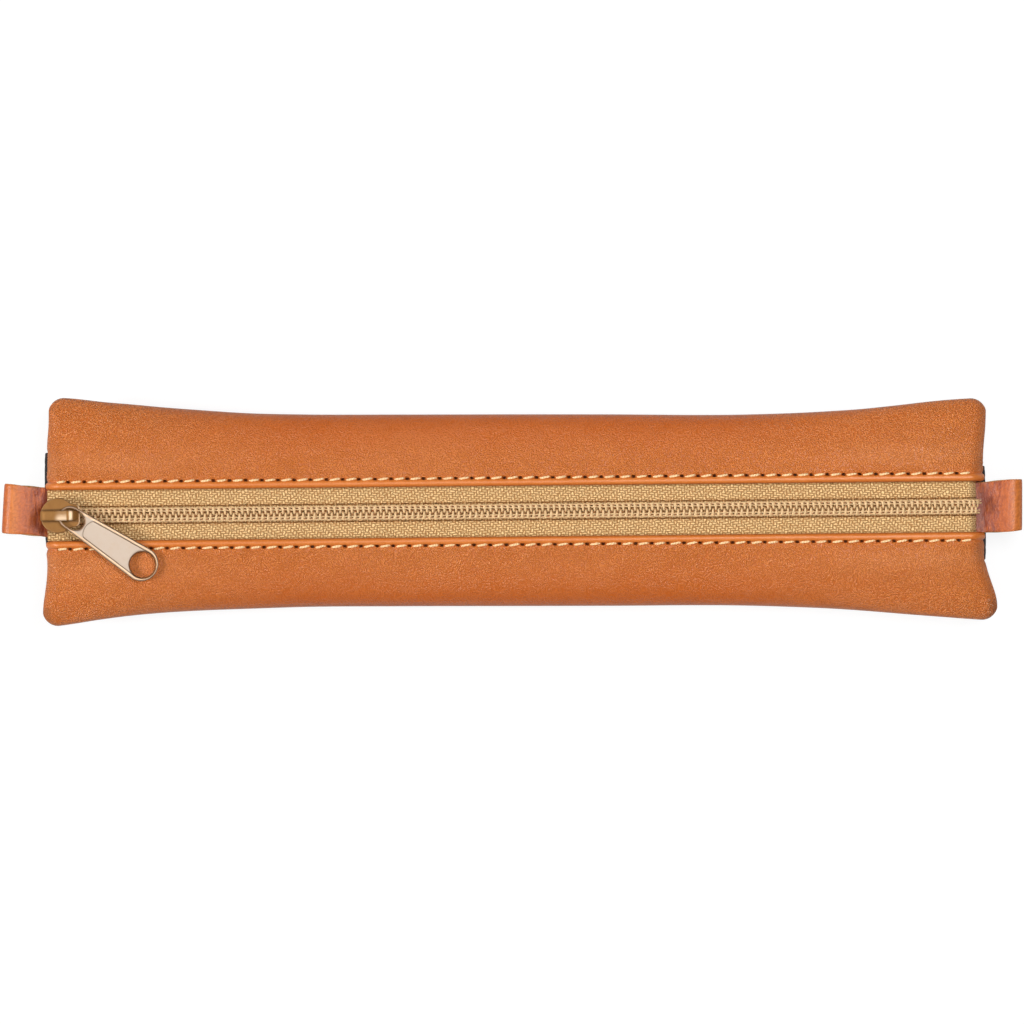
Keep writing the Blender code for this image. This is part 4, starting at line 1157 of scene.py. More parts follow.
class PENCILCASE_OT_tape(bpy.types.Operator):
    """Build the woven tape in four quarters, raised under the coil and creased beside it."""

    bl_idname = "pencil_case.tape"
    bl_label = "Zip tape"

    def execute(self, context):
        size, tape = context.scene.case_leather, context.scene.case_zip
        finish = tape_finish("woven_tape", context.scene.case_colours, tape.groove)
        for name, side, end in quarters():
            word, hand = name.split("_")
            last = tape.left_end if end < 0 else size.right_seam - size.nose + tape.right_turn
            along = end * np.linspace(0.0, last, round(last / 0.0008) + 1)
            inner_lines = [tape.tape_inner, 0.0008, 0.0013, 0.0016, 0.0017, 0.00182, 0.0019,
                           tape.groove, 0.00204, 0.00212, 0.0023, 0.0029]
            narrow, narrow_from, narrow_run = 0.0056, 0.0965, 0.004
            reach = smooth((np.abs(along) - narrow_from) / narrow_run)
            reach = tape.tape_outer - (tape.tape_outer - narrow) * reach
            share = np.linspace(0.0, 1.0, 15)[1:]
            outer_lines = inner_lines[-1] + (reach[:, None] - inner_lines[-1]) * share
            across = np.concatenate([np.broadcast_to(inner_lines, (len(along), len(inner_lines))),
                                     outer_lines], axis=1)
            under_coil, crease_depth, crease_width = 0.00022, 0.00020, 0.00013
            billow_height = 0.00006
            raised = under_coil * smooth((tape.groove - across) / 0.0003)
            crease = crease_depth * np.exp(-((across - tape.groove) / crease_width) ** 2)
            billow = billow_height * np.sin(along[:, None] * 900.0)
            billow = billow * smooth((across - 0.0026) / 0.001)
            inset = tape.tape_inset - raised + crease + billow
            top = zip_point(size, along[:, None], side * across, inset)
            under = zip_point(size, along[:, None], side * across, inset + tape.tape_thickness)
            skins = [stacked(along[:, None], across, through) for through in (0.0, 1.0)]
            body, _ = shell_body(top, under, *skins)
            piece = put_piece(f"{name}_tape", body, finish, 45.0)
            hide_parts(f"{word}_tape", f"{word}_tape_{hand}_end")
            bend_with_panel(piece)
        return {"FINISHED"}


class PENCILCASE_OT_coil(bpy.types.Operator):
    """Build the interlocked coils and the thread that sews them to the tape."""

    bl_idname = "pencil_case.coil"
    bl_label = "Zip coil"

    # One pitch of the filament: share of the pitch, share from lap to reach, share of the
    # leg rise.
    TOOTH_SHARES = np.array((
        (0.00, 0.93, 0.80), (0.02, 0.81, 0.96), (0.03, 0.68, 1.00), (0.05, 0.30, 1.00),
        (0.06, 0.09, 0.85), (0.07, 0.00, 0.00), (0.08, 0.09, -0.85), (0.10, 0.35, -1.00),
        (0.16, 0.82, -0.95), (0.42, 1.00, -0.55), (0.76, 1.01, 0.25),
    ))

    def execute(self, context):
        size, tape = context.scene.case_leather, context.scene.case_zip
        filament = coil_finish("coil_filament", context.scene.case_colours)
        for name, side, end in quarters():
            word, hand = name.split("_")
            body = self.filament(size, tape, side, end)
            for line, drop in ((tape.thread_line, 0.00004), (tape.outer_line, 0.00010)):
                body = body.join(self.chain_thread(size, tape, side, end, line, drop))
            piece = put_piece(f"{name}_coil", body, filament, 75.0)
            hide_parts(f"{word}_coil", f"{word}_coil_{hand}_end")
            bend_with_panel(piece)
        return {"FINISHED"}

    def span(self, size, tape, side, end):
        """Numbers of the teeth of one quarter and their offset along the zip."""
        offset = side * tape.pitch / 4
        left_reach, past_nose = 0.1026, 0.0036
        reach = left_reach if end < 0 else size.right_seam - size.nose + past_nose
        last = math.floor((reach - tape.pitch) / tape.pitch)
        teeth = np.arange(0, last + 1) if end > 0 else np.arange(-last - 1, 0)
        return teeth, offset

    def filament(self, size, tape, side, end):
        """One filament carried through the tooth's shares, tooth after tooth, and wider
        in each head and where its upper leg turns down."""
        teeth, offset = self.span(size, tape, side, end)
        steps = len(self.TOOTH_SHARES)
        numbers = np.arange(-1, len(teeth) * steps + 2)
        share = self.TOOTH_SHARES[numbers % steps]
        along = (teeth[0] + numbers // steps + share[:, 0]) * tape.pitch + offset
        y = -tape.lap + (tape.reach + tape.lap) * share[:, 1]
        height = share[:, 2] * tape.leg_rise
        depth = coil_depth(size)
        centres = zip_point(size, along, side * y, depth - height)
        forward = unit(np.gradient(centres, axis=0))
        spine = zip_point(size, along, side * np.full_like(y, 0.0008), depth)
        sideways = unit(np.cross(forward, centres - spine))
        lifted = np.cross(sideways, forward)
        head = 1.0 + 0.25 * np.exp(-((y / 0.0003) ** 2))
        shoulder, shoulder_width = 0.00111, 0.00026
        broad = 0.60 * np.exp(-(((y - shoulder) / shoulder_width) ** 2))
        head = head + broad * smooth(height / 0.0003)
        ring = round_section(6, tape.filament, tape.filament)
        wide = sideways * head[:, None]
        return self.carried(ring, centres, wide, lifted, along, y, height)

    def chain_thread(self, size, tape, side, end, line, drop):
        """A thread that rises over each leg and dips between: h = a + b cos(2 pi x / pitch)."""
        teeth, offset = self.span(size, tape, side, end)
        steps = np.arange(-1, len(teeth) * 6 + 2) / 6.0
        along = (teeth[0] + steps) * tape.pitch + offset
        dip, sway = 0.00009, 0.00004
        wave = np.cos(math.tau * (steps - 0.04))
        height = tape.leg_rise + tape.filament - drop + dip * (wave - 1.0)
        y = side * (line + sway * np.sin(math.tau * steps))
        centres = zip_point(size, along, y, coil_depth(size) - height)
        forward = unit(np.gradient(centres, axis=0))
        sideways = unit(np.cross(forward, np.array((0.0, 0.0, 1.0))))
        lifted = np.cross(sideways, forward)
        ring = round_section(6, tape.thread * 1.05, tape.thread)
        return self.carried(ring, centres, sideways, lifted, along, y, height)

    def carried(self, ring, centres, sideways, lifted, along, y, height):
        """A cross-section carried along a line, centre + across * sideways + up * lifted,
        less its two end rings, where the line's direction is one-sided."""
        rings = centres[:, None] + sideways[:, None] * ring[:, :1] + lifted[:, None] * ring[:, 1:]
        skin = stacked(along[:, None], y[:, None], height[:, None] + ring[:, 1])
        return ring_body(rings[1:-1], skin[1:-1])


class PENCILCASE_OT_slider(bpy.types.Operator):
    """Build the slider's plates, flanges and post, and its crown."""

    bl_idname = "pencil_case.slider"
    bl_label = "Slider"

    def execute(self, context):
        size = context.scene.case_fittings
        finish = brass_finish("darkened_brass", context.scene.case_colours)
        set_back, dome = 0.00025, 0.00007
        front, rear = float(SLIDER_LOW[0]) + set_back, float(SLIDER_HIGH[0])
        top, bottom = float(SLIDER_HIGH[2]), float(SLIDER_LOW[2])
        upper = self.plate(size, front, rear, top - size.plate, top, dome)
        lower = self.plate(size, front + size.rim, rear - size.rim,
                           bottom, bottom + size.lower_plate, 0.0)
        body = upper.join(lower)
        for side in (1, -1):
            body = body.join(self.flange(size, front, side, top))
        body = body.join(self.post(front, bottom + size.lower_plate / 2, top - size.plate / 2))
        piece = put_piece("slider_shell", body, finish, 50.0)
        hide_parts("slider_body")
        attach(piece, "slider")
        crown = put_piece("slider_bridge", self.crown(size, front, top), finish, 50.0)
        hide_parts("slider_crown")
        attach(crown, "slider")
        return {"FINISHED"}

    def outline(self, size, front, rear, count=72):
        """A disc blended with a rounded tail: r = (r1^k + r2^k)^(1/k) round the disc's centre."""
        centre = front + size.plate_radius
        turn = np.linspace(0.0, math.tau, count, endpoint=False)
        tail = rear - centre
        cosine = np.clip(np.cos(turn), 1e-6, None)
        long = (cosine / tail) ** 6 + np.abs(np.sin(turn) / size.neck) ** 6
        tail_radius = np.where(np.cos(turn) > 0.0, long ** (-1.0 / 6), 0.0)
        power = 22.0
        radius = (size.plate_radius ** power + tail_radius ** power) ** (1.0 / power)
        return centre, turn, radius

    def plate(self, size, front, rear, low, high, dome):
        """Rings from under the middle, round the rim to the middle above, which stands
        up by dome. The rim is pale at the rear, partly wear and partly painted highlight."""
        centre, turn, radius = self.outline(size, front, rear)
        inward = np.array([1.0, 0.45, 0.12, 0.0, 0.0, 0.12, 0.45, 1.0, 1.6]) * size.rim
        rise = np.array([0.0, 0.0, 0.06, 0.35, 0.75, 0.75, 0.35, 0.06, 0.0, 0.0]) * size.rim
        level = np.concatenate([low + rise[:5], high - rise[5:]])
        scale = [0.05 * np.ones_like(radius)]
        scale += [(radius - step) / radius for step in inward]
        scale += [share * np.ones_like(radius) * scale[-1] for share in (0.7, 0.4, 0.05)]
        level = np.concatenate([level, [high + dome * 0.5, high + dome * 0.85, high + dome]])
        scale = np.stack(scale)
        x = centre + scale * radius * np.cos(turn)
        y = scale * radius * np.sin(turn)
        rings = stacked(x, y, level[:, None])
        wear_and_highlight = np.zeros(len(level))
        # The rim's rings are paled, most at the rear: partly wear, partly a painted highlight line.
        wear_and_highlight[6:8] = 0.85
        rear_share = smooth((x - rear + 0.0009) / 0.0005)
        wear_and_highlight = wear_and_highlight[:, None] * (0.2 + 0.8 * rear_share)
        skin = np.stack([x, y, wear_and_highlight], axis=-1)
        return ring_body(rings, skin)

    def flange(self, size, front, side, top):
        """Edge of the upper plate turned down beside the coil: an arc with thickness."""
        turn = np.linspace(math.radians(38.0), math.radians(122.0), 15)
        centre = front + size.plate_radius
        wall, chamfer, set_in = 0.0006, 0.0001, 0.00012
        outer = size.plate_radius - set_in
        low, high = 0.01515, top - size.plate / 2
        profile = np.array([(outer, high), (outer, low + chamfer), (outer - chamfer, low),
                            (outer - wall + chamfer, low), (outer - wall, low + chamfer),
                            (outer - wall, high)])
        x = centre + profile[None, :, 0] * np.cos(turn)[:, None]
        y = side * profile[None, :, 0] * np.sin(turn)[:, None]
        return ring_body(stacked(x, y, profile[None, :, 1]), stacked(x, y, 0.0))

    def post(self, front, low, high):
        """Wedge between the plates that parts the teeth: one outline at two heights."""
        outline = np.array([(0.0006, 0.0), (0.0012, -0.00012), (0.0028, -0.00008),
                            (0.0028, 0.00008), (0.0012, 0.00012)])
        rings = stacked(front + outline[:, 0], outline[:, 1], np.array([[low], [high]]))
        return ring_body(rings, rings * 0.0)

    def crown(self, size, front, top):
        """A strip bent over the plate: low along its front, humped over its rear foot.
        The path's points are millimetres behind the plate's front and above its top."""
        path = [(0.45, -0.1), (0.45, 0.7), (0.52, 1.35), (0.85, 1.86), (1.6, 1.99),
                (3.1, 2.02), (4.5, 2.03), (5.5, 2.03), (6.1, 2.08), (6.6, 2.2),
                (7.1, 2.15), (7.5, 1.75), (7.8, 1.1), (7.95, 0.5), (7.95, -0.1)]
        path = smooth_path(np.array(path) / 1000.0 + (front, top), 56)
        centres, normal = upright(path, 0.0)
        share = (path[:, 0] - path[0, 0]) / (path[-1, 0] - path[0, 0])
        ring = round_section(20, 1.0, 1.0, 5.0)
        width = size.crown_half_width * (1.0 - 0.10 * smooth((share - 0.78) / 0.2))
        thick = size.crown_half * (1.0 + 0.12 * np.exp(-(((share - 0.86) / 0.07) ** 2)))
        rings = centres[:, None] + normal[:, None] * (ring[:, 1] * thick[:, None])[..., None]
        rings[..., 1] = rings[..., 1] + ring[:, 0] * width[:, None]
        # Pale along the top of the crown and on its hump: partly wear, partly painted highlight.
        wear_and_highlight = 0.8 * smooth((share - 0.30) / 0.24) * smooth((0.755 - share) / 0.025)
        low_half = smooth(ring[:, 1] * 2.0) * (0.30 + 0.70 * smooth(0.5 - ring[:, 0] * 1.4))
        hump = smooth((share - 0.795) / 0.02) * smooth((0.895 - share) / 0.03)
        wear_and_highlight = wear_and_highlight[:, None] * low_half + hump[:, None] * smooth(ring[:, 1] * 2.0)
        return ring_body(rings, stacked(rings[..., 0], rings[..., 1], wear_and_highlight))


class PENCILCASE_OT_puller(bpy.types.Operator):
    """Build the puller: an eye, a flat face with raised rims and a finger hole."""

    bl_idname = "pencil_case.puller"
    bl_label = "Puller"

    def execute(self, context):
        finish = puller_finish("puller_metal", context.scene.case_colours)
        piece = put_piece("zip_puller", self.body(context.scene.case_fittings), finish, 60.0)
        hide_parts("puller")
        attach(piece, "puller")
        return {"FINISHED"}

    def side_width(self, size, x):
        """Half width of the straight sides, which spread from the eye to the round end."""
        slope = (size.puller_end - size.puller_eye) / (size.puller_length - 0.0035)
        return size.puller_eye + slope * (x - 0.0035)

    def outline(self, size, run, arc, cut, spread):
        """Closed line of one end: lower side, arc, upper side, and the cut across the
        puller, whose inner points lie at the shares of its width in spread."""
        side = self.side_width(size, run)
        across = spread[-2:0:-1] * self.side_width(size, cut)
        return np.concatenate([
            np.stack([run, -side], axis=-1), arc, np.stack([run[::-1], side[::-1]], axis=-1),
            np.stack([np.full_like(across, cut), across], axis=-1)])

    def eye(self, size, cut, spread):
        """Outline of the eye's end, a squarish half oval, and the opening inside it,
        which is a superellipse."""
        start, centre = 0.0024, 0.0029
        reach, opening_half, squareness = 0.00275, 0.0027, 2.4
        arc = np.radians(np.linspace(-90.0, -270.0, 31))
        cosine, sine = np.cos(arc), np.sin(arc)
        near = np.stack([
            start + reach * np.sign(cosine) * np.abs(cosine) ** 0.93,
            self.side_width(size, start) * np.sign(sine) * np.abs(sine) ** 0.93], axis=-1)
        loop = self.outline(size, np.linspace(cut, start, 9)[:-1], near, cut, spread)
        turn = np.arctan2(loop[:, 1], loop[:, 0] - centre)
        opening = self.side_width(size, centre) - size.puller_wire
        radius = (np.abs(np.cos(turn) / opening_half) ** squareness
                  + np.abs(np.sin(turn) / opening) ** squareness) ** (-1.0 / squareness)
        return loop, np.stack([centre + radius * np.cos(turn), radius * np.sin(turn)], axis=-1)

    def round_end(self, size, cut, spread, hole_x):
        """Outline of the round end and the finger hole inside it."""
        arc = np.radians(np.linspace(-86.0, 86.0, 37))
        tip = np.stack([size.puller_length + size.puller_end * np.cos(arc),
                        size.puller_end * np.sin(arc)], axis=-1)
        loop = self.outline(size, np.linspace(cut, tip[0, 0], 9)[:-1], tip, cut, spread)
        turn = np.arctan2(loop[:, 1], loop[:, 0] - hole_x)
        return loop, np.stack([hole_x + size.puller_hole * np.cos(turn),
                               size.puller_hole * np.sin(turn)], axis=-1)

    def height(self, size, flat, outer_fall, inner_fall):
        """Half thickness at places of the plane: rounded off at its edges, with a sunk
        field inside the scored lines and a groove along each."""
        thicker = smooth((flat[:, 0] - EYE_END) / 0.0010)
        half = size.eye_half + (size.puller_half - size.eye_half) * thicker
        past = flat[:, 0] - SCORE_ARC_CENTRE
        arc_fall = np.where(past < 0.0, SCORE_ARC_RADIUS - np.hypot(past, flat[:, 1]), 1.0)
        field = smooth(arc_fall / 0.00020 + 0.5)
        field_depth, line_depth, arc_depth = 0.00010, 0.00010, 0.00004
        sunk = field_depth * smooth((outer_fall - SCORE_LINE) / 0.00016 + 0.5) * field
        line = line_depth * np.exp(-((outer_fall - SCORE_LINE) / 0.00013) ** 2) * field
        arc = arc_depth * np.exp(-(arc_fall / 0.00010) ** 2) * (outer_fall > SCORE_LINE)
        groove = line + arc
        outer_round, hole_round = 0.00040, 0.00044
        height = half * round_off(outer_fall, outer_round) * round_off(inner_fall, hole_round)
        return np.clip(height - (sunk + groove) * (inner_fall > 0.0), 0.0, None)

    def body(self, size):
        """Three grids in the plane of the puller, ring by ring round the eye and the
        hole and straight between them, as an upper and a lower face that share their
        edges; height = half sqrt(1 - (1 - d/r)^2) near an edge."""
        cut_eye, cut_hole = 0.0072, size.puller_length - 0.0045
        spread = np.linspace(-1.0, 1.0, 25)
        spread = np.sign(spread) * (1.0 - (1.0 - np.abs(spread)) ** 1.7)
        hole_x = size.puller_length + size.hole_shift
        eye_loop, eye_hole = self.eye(size, cut_eye, spread)
        end_loop, finger_hole = self.round_end(size, cut_hole, spread, hole_x)
        shares = np.array([0.0, 0.02, 0.06, 0.12, 0.2, 0.3, 0.4, 0.5,
                           0.6, 0.7, 0.8, 0.88, 0.94, 0.98, 1.0])
        places, faces, offset = [], [], 0
        for inner, outer in ((eye_hole, eye_loop), (finger_hole, end_loop)):
            grid = inner[None] + (outer - inner)[None] * shares[:, None, None]
            grid = np.concatenate([grid, grid[:, :1]], axis=1)
            numbers = np.arange(grid.shape[0] * grid.shape[1]).reshape(grid.shape[:2]) + offset
            places.append(grid.reshape(-1, 2))
            faces.append(grid_quads(numbers))
            offset += numbers.size
        rows = np.linspace(cut_eye, cut_hole, 40)[:, None]
        across = self.side_width(size, rows) * spread
        numbers = np.arange(across.size).reshape(across.shape) + offset
        strip = np.stack([np.broadcast_to(rows, across.shape), across], axis=-1)
        places.append(strip.reshape(-1, 2))
        faces.append(grid_quads(numbers)[:, ::-1])
        flat = np.concatenate(places)
        inner_cut = len(spread) - 2
        rim_line = np.concatenate([eye_loop[:-inner_cut][::-1], end_loop[:-inner_cut]])
        outer_fall = self.distance(flat, rim_line)
        inner_fall = np.minimum(
            self.distance(flat, eye_hole),
            np.abs(np.hypot(flat[:, 0] - hole_x, flat[:, 1]) - size.puller_hole))
        height = self.height(size, flat, outer_fall, inner_fall)
        local = np.concatenate([np.column_stack([flat, height]), np.column_stack([flat, -height])])
        faces = np.concatenate(faces)
        faces = np.concatenate([faces, faces[:, ::-1] + len(flat)])
        keys = np.round(local / 1e-7).astype(np.int64)
        _, first, inverse = np.unique(keys, axis=0, return_index=True, return_inverse=True)
        quads, triangles = split_quads(inverse.ravel()[faces])
        local = local[first]
        falls = {"fall": np.tile(outer_fall, 2)[first], "inner_fall": np.tile(inner_fall, 2)[first]}
        return Body(self.hang(size, local), [quads, triangles], local, falls)

    def hang(self, size, local):
        """Points of the puller turned, lowered and set on the axis of its joint."""
        yaw, tilt = size.puller_yaw, size.puller_tilt
        forward = np.array((math.cos(tilt) * math.cos(yaw), math.cos(tilt) * math.sin(yaw),
                            -math.sin(tilt)))
        axis = np.array((-math.sin(yaw), math.cos(yaw), 0.0))
        up = np.cross(forward, axis)
        joint = next(joint for joint in frame["joints"] if joint["name"] == "puller_flip")
        pivot = np.array(joint["pos_m"]) + axis * size.puller_across
        return pivot + local[:, :1] * forward + local[:, 1:2] * axis + local[:, 2:] * up

    def distance(self, places, line):
        """Shortest distance from each place to a closed line of points."""
        step = np.roll(line, -1, axis=0) - line
        measure = np.maximum(np.einsum("ij,ij->i", step, step), 1e-18)
        offset = places[:, None] - line[None]
        share = np.clip(np.einsum("pij,ij->pi", offset, step) / measure, 0.0, 1.0)
        gap = offset - share[..., None] * step[None]
        return np.sqrt(np.einsum("pij,pij->pi", gap, gap)).min(axis=1)


class PENCILCASE_OT_elastic(bpy.types.Operator):
    """Build the elastic band along the back."""

    bl_idname = "pencil_case.elastic"
    bl_label = "Elastic band"

    def execute(self, context):
        body, flat = self.band(context.scene.case_leather, context.scene.case_bands)
        finish = elastic_finish("knitted_elastic", context.scene.case_colours)
        piece = put_piece("black_band", body, finish, 60.0)
        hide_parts("elastic_band")
        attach(piece, "case")
        return {"FINISHED"}

    def half_path(self, size, end, seam, lie):
        """Half of the band's middle line: out along the back, round the nose and over
        the lip of the slot into the case."""
        nose = seam - size.nose
        x = np.concatenate([np.linspace(0.0, size.thin_start, 40),
                            np.linspace(size.thin_start, nose, 40)[1:]])
        under = section(size, end * x, 0.0, 0.0 * x, False, 0.0)[:, 2] - lie
        depth = size.seam_height - size.back_end_height
        turn = np.radians(np.linspace(6.0, 30.0, 5))
        rise_x = nose + (size.nose + lie) * np.sin(turn)
        rise_z = size.seam_height - (depth + lie) * np.cos(turn)
        middle, lip_turn = size.thickness / 2, math.radians(45.0)
        lip_x = nose + (size.nose - middle) * math.sin(lip_turn)
        lip_z = size.seam_height - (depth - middle) * math.cos(lip_turn)
        radius = middle + lie
        arc = np.radians(np.linspace(-30.0, 90.0, 10))
        x = np.concatenate([x, rise_x, lip_x + radius * np.cos(arc), [nose - 0.0015]])
        z = np.concatenate([under, rise_z, lip_z + radius * np.sin(arc), [lip_z + radius]])
        return np.stack([end * x, z], axis=-1)

    def band(self, size, band):
        """A flat knitted section carried along the back and up round both noses; its
        width swells and shrinks with the knit, w = half (1 + a |sin(pi x / p)|)."""
        lie = band.elastic_gap + band.elastic / 2
        left = self.half_path(size, -1, size.left_seam, lie)
        right = self.half_path(size, 1, size.right_seam, lie)
        path, places = spread_evenly(np.concatenate([left[::-1], right[1:]]), 420)
        share = (path[:, 0] + size.left_seam) / (size.left_seam + size.right_seam)
        y = band.elastic_left + (band.elastic_right - band.elastic_left) * share
        centres, normal = upright(path, y)
        ring = round_section(44, 1.0, 1.0, 7.0)
        scallop, scallop_pitch, rib_depth, rib_pitch = 0.016, 0.0024, 0.10, 0.0019
        swelling = 1.0 + scallop * np.abs(np.sin(math.pi * places / scallop_pitch))
        width = band.elastic_half * swelling
        across = ring[:, 0] * band.elastic_half
        rib = 1.0 - rib_depth * (0.5 + 0.5 * np.cos(across * math.tau / rib_pitch))
        up = ring[:, 1] * rib * band.elastic / 2
        rings = centres[:, None] + normal[:, None] * up[None, :, None]
        rings[..., 1] = rings[..., 1] + ring[:, 0] * width[:, None]
        rings[..., 2] = rings[..., 2] + self.hug(size, rings[..., 0], rings[..., 1])
        skin = stacked(places[:, None], across, 0.0)
        return ring_body(rings, skin), (2 * band.elastic_half, float(places[-1]))

    def hug(self, size, x, y):
        """Rise of the round back beside its middle line, fading out before each nose."""
        nose = by_end(x, size.left_seam, size.right_seam) - size.nose
        under = np.clip(x, -(size.left_seam - size.nose), size.right_seam - size.nose)
        beside = section(size, under, 0.0, y, False, 0.0)[..., 2]
        middle = section(size, under, 0.0, 0.0 * y, False, 0.0)[..., 2]
        return (beside - middle) * smooth((nose - np.abs(x)) / 0.004)


class PENCILCASE_OT_loops(bpy.types.Operator):
    """Build the folded leather loops at both ends."""

    bl_idname = "pencil_case.loops"
    bl_label = "End loops"

    def execute(self, context):
        size, band = context.scene.case_leather, context.scene.case_bands
        finish = loop_finish("loop_leather", context.scene.case_colours)
        for hand, end in (("left", -1), ("right", 1)):
            piece = put_piece(f"{hand}_loop", self.loop(size, band, hand, end), finish, 50.0)
            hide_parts(f"{hand}_pull_loop")
            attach(piece, "case")
        return {"FINISHED"}

    def loop(self, size, band, hand, end):
        """A strip folded double: two layers leave the seam, swell apart and meet in a
        round fold. Low ripples run across it near the seam and fade to the fold."""
        low, high = (np.array(corner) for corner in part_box(f"{hand}_pull_loop"))
        level = float(low[2] + high[2]) / 2
        if end < 0:
            seam, loop_half, lean = size.left_seam, band.left_loop_half, band.left_lean
            tip, skew, set_across = -float(low[0]), -band.fold_skew, 0.00080
        else:
            seam, loop_half, lean = size.right_seam, band.right_loop_half, band.right_lean
            tip, skew, set_across = float(high[0]), 0.012, -0.00018
        tip = tip + band.loop_out
        half = band.loop_strip / 2
        near = half + 0.0001
        fold = tip - abs(skew) * loop_half - 0.00005 - band.loop_fold - half
        start = seam - 0.0045
        x = np.linspace(seam - 0.0006, fold, 26)
        swell = near + (band.loop_fold - near) * smooth((x - x[0]) / (fold - x[0]))
        upper = np.stack([x, swell], axis=-1)
        arc = np.radians(np.linspace(90.0, -90.0, 26))[1:-1]
        bend = np.stack([fold + band.loop_fold * np.cos(arc),
                         band.loop_fold * np.sin(arc)], axis=-1)
        path = np.concatenate([[(start, near)], upper, bend, upper[::-1] * (1, -1),
                               [(start, -near)]])
        path, places = spread_evenly(path, 150)
        forward = unit(np.gradient(path, axis=0))
        outward = np.stack([-forward[:, 1], forward[:, 0]], axis=-1)
        ring = round_section(40, 1.0, 1.0, 9.0)
        across = ring[:, 0] * loop_half
        out = path[:, 0] - seam
        ripple_height, ripple_length, ripple_end = 0.00010, 0.00052, 0.0050
        sag_depth, sag_end = 0.00035, 0.0035
        fade = ((1.0 - smooth(out / ripple_end)) * smooth(path[:, 1] / 0.0004 + 0.5))[:, None]
        ripple = ripple_height * np.sin(out[:, None] / ripple_length + 900.0 * across * 0.35) * fade
        sag = sag_depth * smooth(1.0 - out / sag_end)[:, None]
        sag = sag * (1.0 - (across / loop_half) ** 2) * fade
        place_x = path[:, None, 0] + outward[:, None, 0] * ring[:, 1] * half
        place_z = path[:, None, 1] + outward[:, None, 1] * ring[:, 1] * half + ripple - sag
        wander = 0.00010 * np.sin(places * 700.0 + end)[:, None] * np.sign(across)
        y = across + wander + set_across + math.tan(lean) * (place_x - seam)
        share = smooth((place_x - seam) / (tip - seam))
        rings = np.stack([end * (place_x + skew * across * share), y, level + place_z], axis=-1)
        cut_edge = smooth((np.abs(ring[:, 0]) - 0.97) / 0.02) * 0.8
        through = np.maximum(cut_edge, smooth(0.5 - ring[:, 1]))
        skin = stacked(places[:, None] * end, across + LOOP_MIDDLE, through)
        return ring_body(rings, skin)


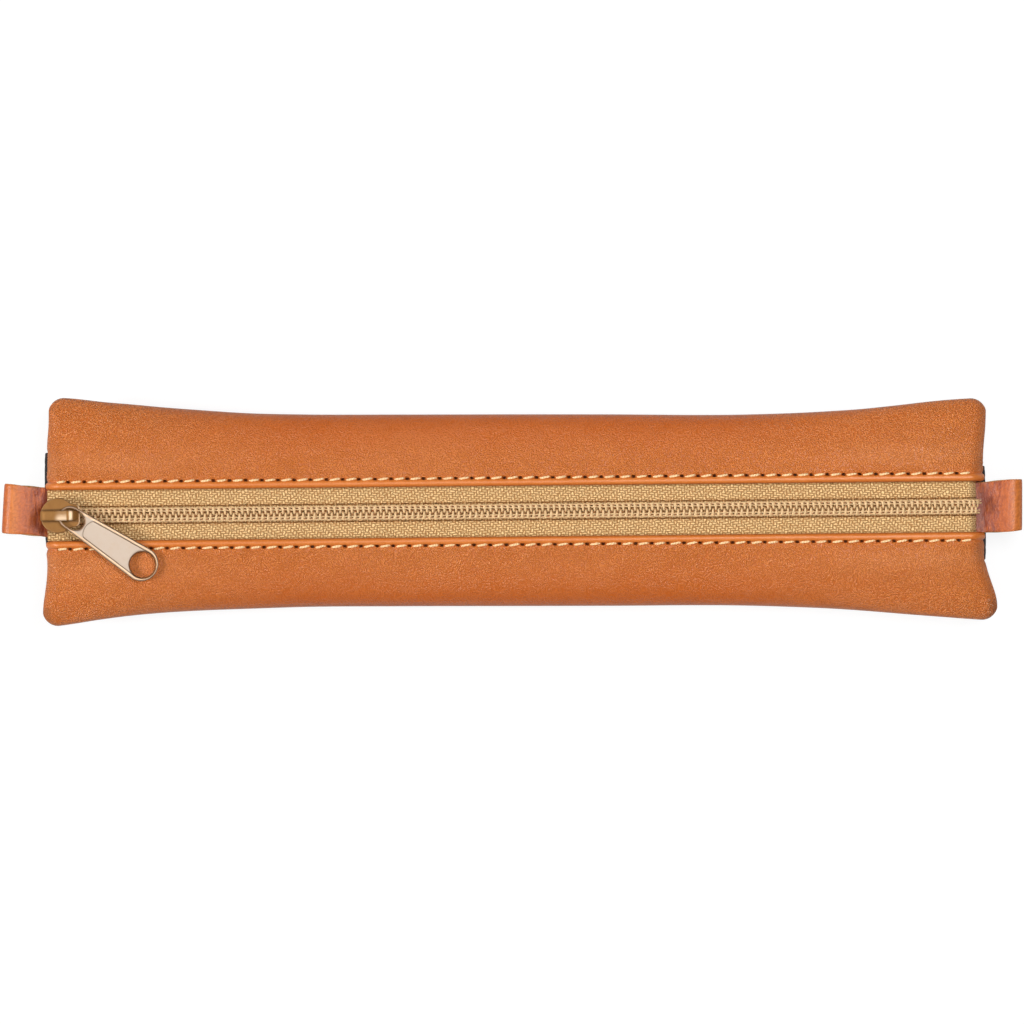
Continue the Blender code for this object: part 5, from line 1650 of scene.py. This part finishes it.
class PENCILCASE_OT_stage(bpy.types.Operator):
    """Build the floor, lights and camera."""

    bl_idname = "pencil_case.stage"
    bl_label = "Stage"

    def execute(self, context):
        scene = context.scene
        size = scene.case_stage
        scene.view_settings.view_transform = "Standard"
        self.floor(scene)
        scene.world = self.world(size.world)
        self.softbox(scene, "key_softbox", (-1.10, -0.10, 0.80), 0.36, size.key)
        self.softbox(scene, "side_softbox", (0.19, 0.12, 0.62), 0.22, size.side)
        self.softbox(scene, "top_softbox", (0.0, -0.20, 2.35), 1.0, size.top)
        camera = bpy.data.cameras.new("camera")
        camera.type = "PERSP"
        camera.sensor_width = 36.0
        camera.lens = camera.sensor_width * size.distance / size.view_width
        camera.clip_end = 20.0
        holder = bpy.data.objects.new("camera", camera)
        holder.location = (0.0, size.shift_y, scene.case_leather.zip_top + size.distance)
        holder.rotation_euler = (0.0, 0.0, size.roll)
        scene.collection.objects.link(holder)
        scene.camera = holder
        return {"FINISHED"}

    def floor(self, scene):
        """A wide pale sheet: matt, and mostly plain white to the camera, so that the
        rest of it keeps the object's shadow."""
        reach, white_share, white = 4.0, 0.7, 1.22
        corners = ((-reach, -reach), (reach, -reach), (reach, reach), (-reach, reach))
        mesh = bpy.data.meshes.new("floor")
        mesh.from_pydata([(x, y, 0.0) for x, y in corners], [], [(0, 1, 2, 3)])
        finish = Finish("pale_floor")
        finish.shade(Base_Color=(0.62, 0.62, 0.62), Roughness=0.9, Specular_IOR_Level=0.1)
        seen = finish.node("ShaderNodeLightPath", {}, {}, "Is Camera Ray")
        glow = finish.node("ShaderNodeEmission", {}, {"Color": (1.0, 1.0, 1.0), "Strength": white})
        surface = Value(finish, finish.shader.outputs[0])
        mixed = finish.node("ShaderNodeMixShader", {}, {0: seen * white_share, 1: surface, 2: glow})
        finish.put(finish.tree.nodes["Material Output"].inputs["Surface"], mixed)
        mesh.materials.append(finish.material)
        floor = bpy.data.objects.new("floor", mesh)
        scene.collection.objects.link(floor)

    def world(self, strength):
        """Dim even light on the object, and plain white to the camera and through glass."""
        world = bpy.data.worlds.new("studio")
        world.use_nodes = True
        nodes = Nodes(world.node_tree)
        white = (1.0, 1.0, 1.0)
        camera_ray = nodes.node("ShaderNodeLightPath", {}, {}, "Is Camera Ray")
        glass_ray = nodes.node("ShaderNodeLightPath", {}, {}, "Is Transmission Ray")
        light = nodes.node("ShaderNodeBackground", {}, {"Color": white, "Strength": strength})
        seen = nodes.node("ShaderNodeBackground", {}, {"Color": white, "Strength": 1.0})
        values = {0: camera_ray.most(glass_ray), 1: light, 2: seen}
        mixed = nodes.node("ShaderNodeMixShader", {}, values)
        nodes.put(nodes.tree.nodes["World Output"].inputs["Surface"], mixed)
        return world

    def softbox(self, scene, name, place, width, energy):
        """A square lamp that looks at the origin."""
        light = bpy.data.lights.new(name, "AREA")
        light.shape = "SQUARE"
        light.size = width
        light.energy = energy
        holder = bpy.data.objects.new(name, light)
        holder.location = place
        x, y, z = place
        holder.rotation_euler = (math.atan2(math.hypot(x, y), z), 0.0,
                                 math.atan2(-y, -x) - math.pi / 2)
        scene.collection.objects.link(holder)


class PENCILCASE_PT_panel(bpy.types.Panel):
    """Buttons that build the case piece by piece."""

    bl_label = "Pencil Case"
    bl_idname = "PENCILCASE_PT_panel"
    bl_space_type = "VIEW_3D"
    bl_region_type = "UI"
    bl_category = "Pencil Case"

    def draw(self, context):
        column = self.layout.column(align=True)
        for operator in OPERATORS:
            column.operator(operator.bl_idname)
        for key, group in GROUPS.items():
            box = self.layout.box()
            box.label(text=group.__doc__.strip())
            for prop in group.__annotations__:
                box.prop(getattr(context.scene, key), prop)


GROUPS = {
    "case_leather": LeatherSizes,
    "case_zip": ZipSizes,
    "case_fittings": FittingSizes,
    "case_bands": BandSizes,
    "case_colours": CaseColours,
    "case_stage": StageSizes,
}
OPERATORS = (
    PENCILCASE_OT_leather,
    PENCILCASE_OT_topstitch,
    PENCILCASE_OT_tape,
    PENCILCASE_OT_coil,
    PENCILCASE_OT_slider,
    PENCILCASE_OT_puller,
    PENCILCASE_OT_elastic,
    PENCILCASE_OT_loops,
    PENCILCASE_OT_stage,
)


def register():
    """Make the sizes and colours, the operators and the panel known to Blender."""
    for key, group in GROUPS.items():
        bpy.utils.register_class(group)
        setattr(bpy.types.Scene, key, bpy.props.PointerProperty(type=group))
    for kind in OPERATORS:
        bpy.utils.register_class(kind)
    bpy.utils.register_class(PENCILCASE_PT_panel)


def unregister():
    """Take them out again, in the opposite order."""
    bpy.utils.unregister_class(PENCILCASE_PT_panel)
    for kind in reversed(OPERATORS):
        bpy.utils.unregister_class(kind)
    for key, group in GROUPS.items():
        delattr(bpy.types.Scene, key)
        bpy.utils.unregister_class(group)


def main():
    register()
    bpy.ops.pencil_case.leather()
    bpy.ops.pencil_case.topstitch()
    bpy.ops.pencil_case.tape()
    bpy.ops.pencil_case.coil()
    bpy.ops.pencil_case.slider()
    bpy.ops.pencil_case.puller()
    bpy.ops.pencil_case.elastic()
    bpy.ops.pencil_case.loops()
    bpy.ops.pencil_case.stage()


if __name__ == "__main__":
    main()
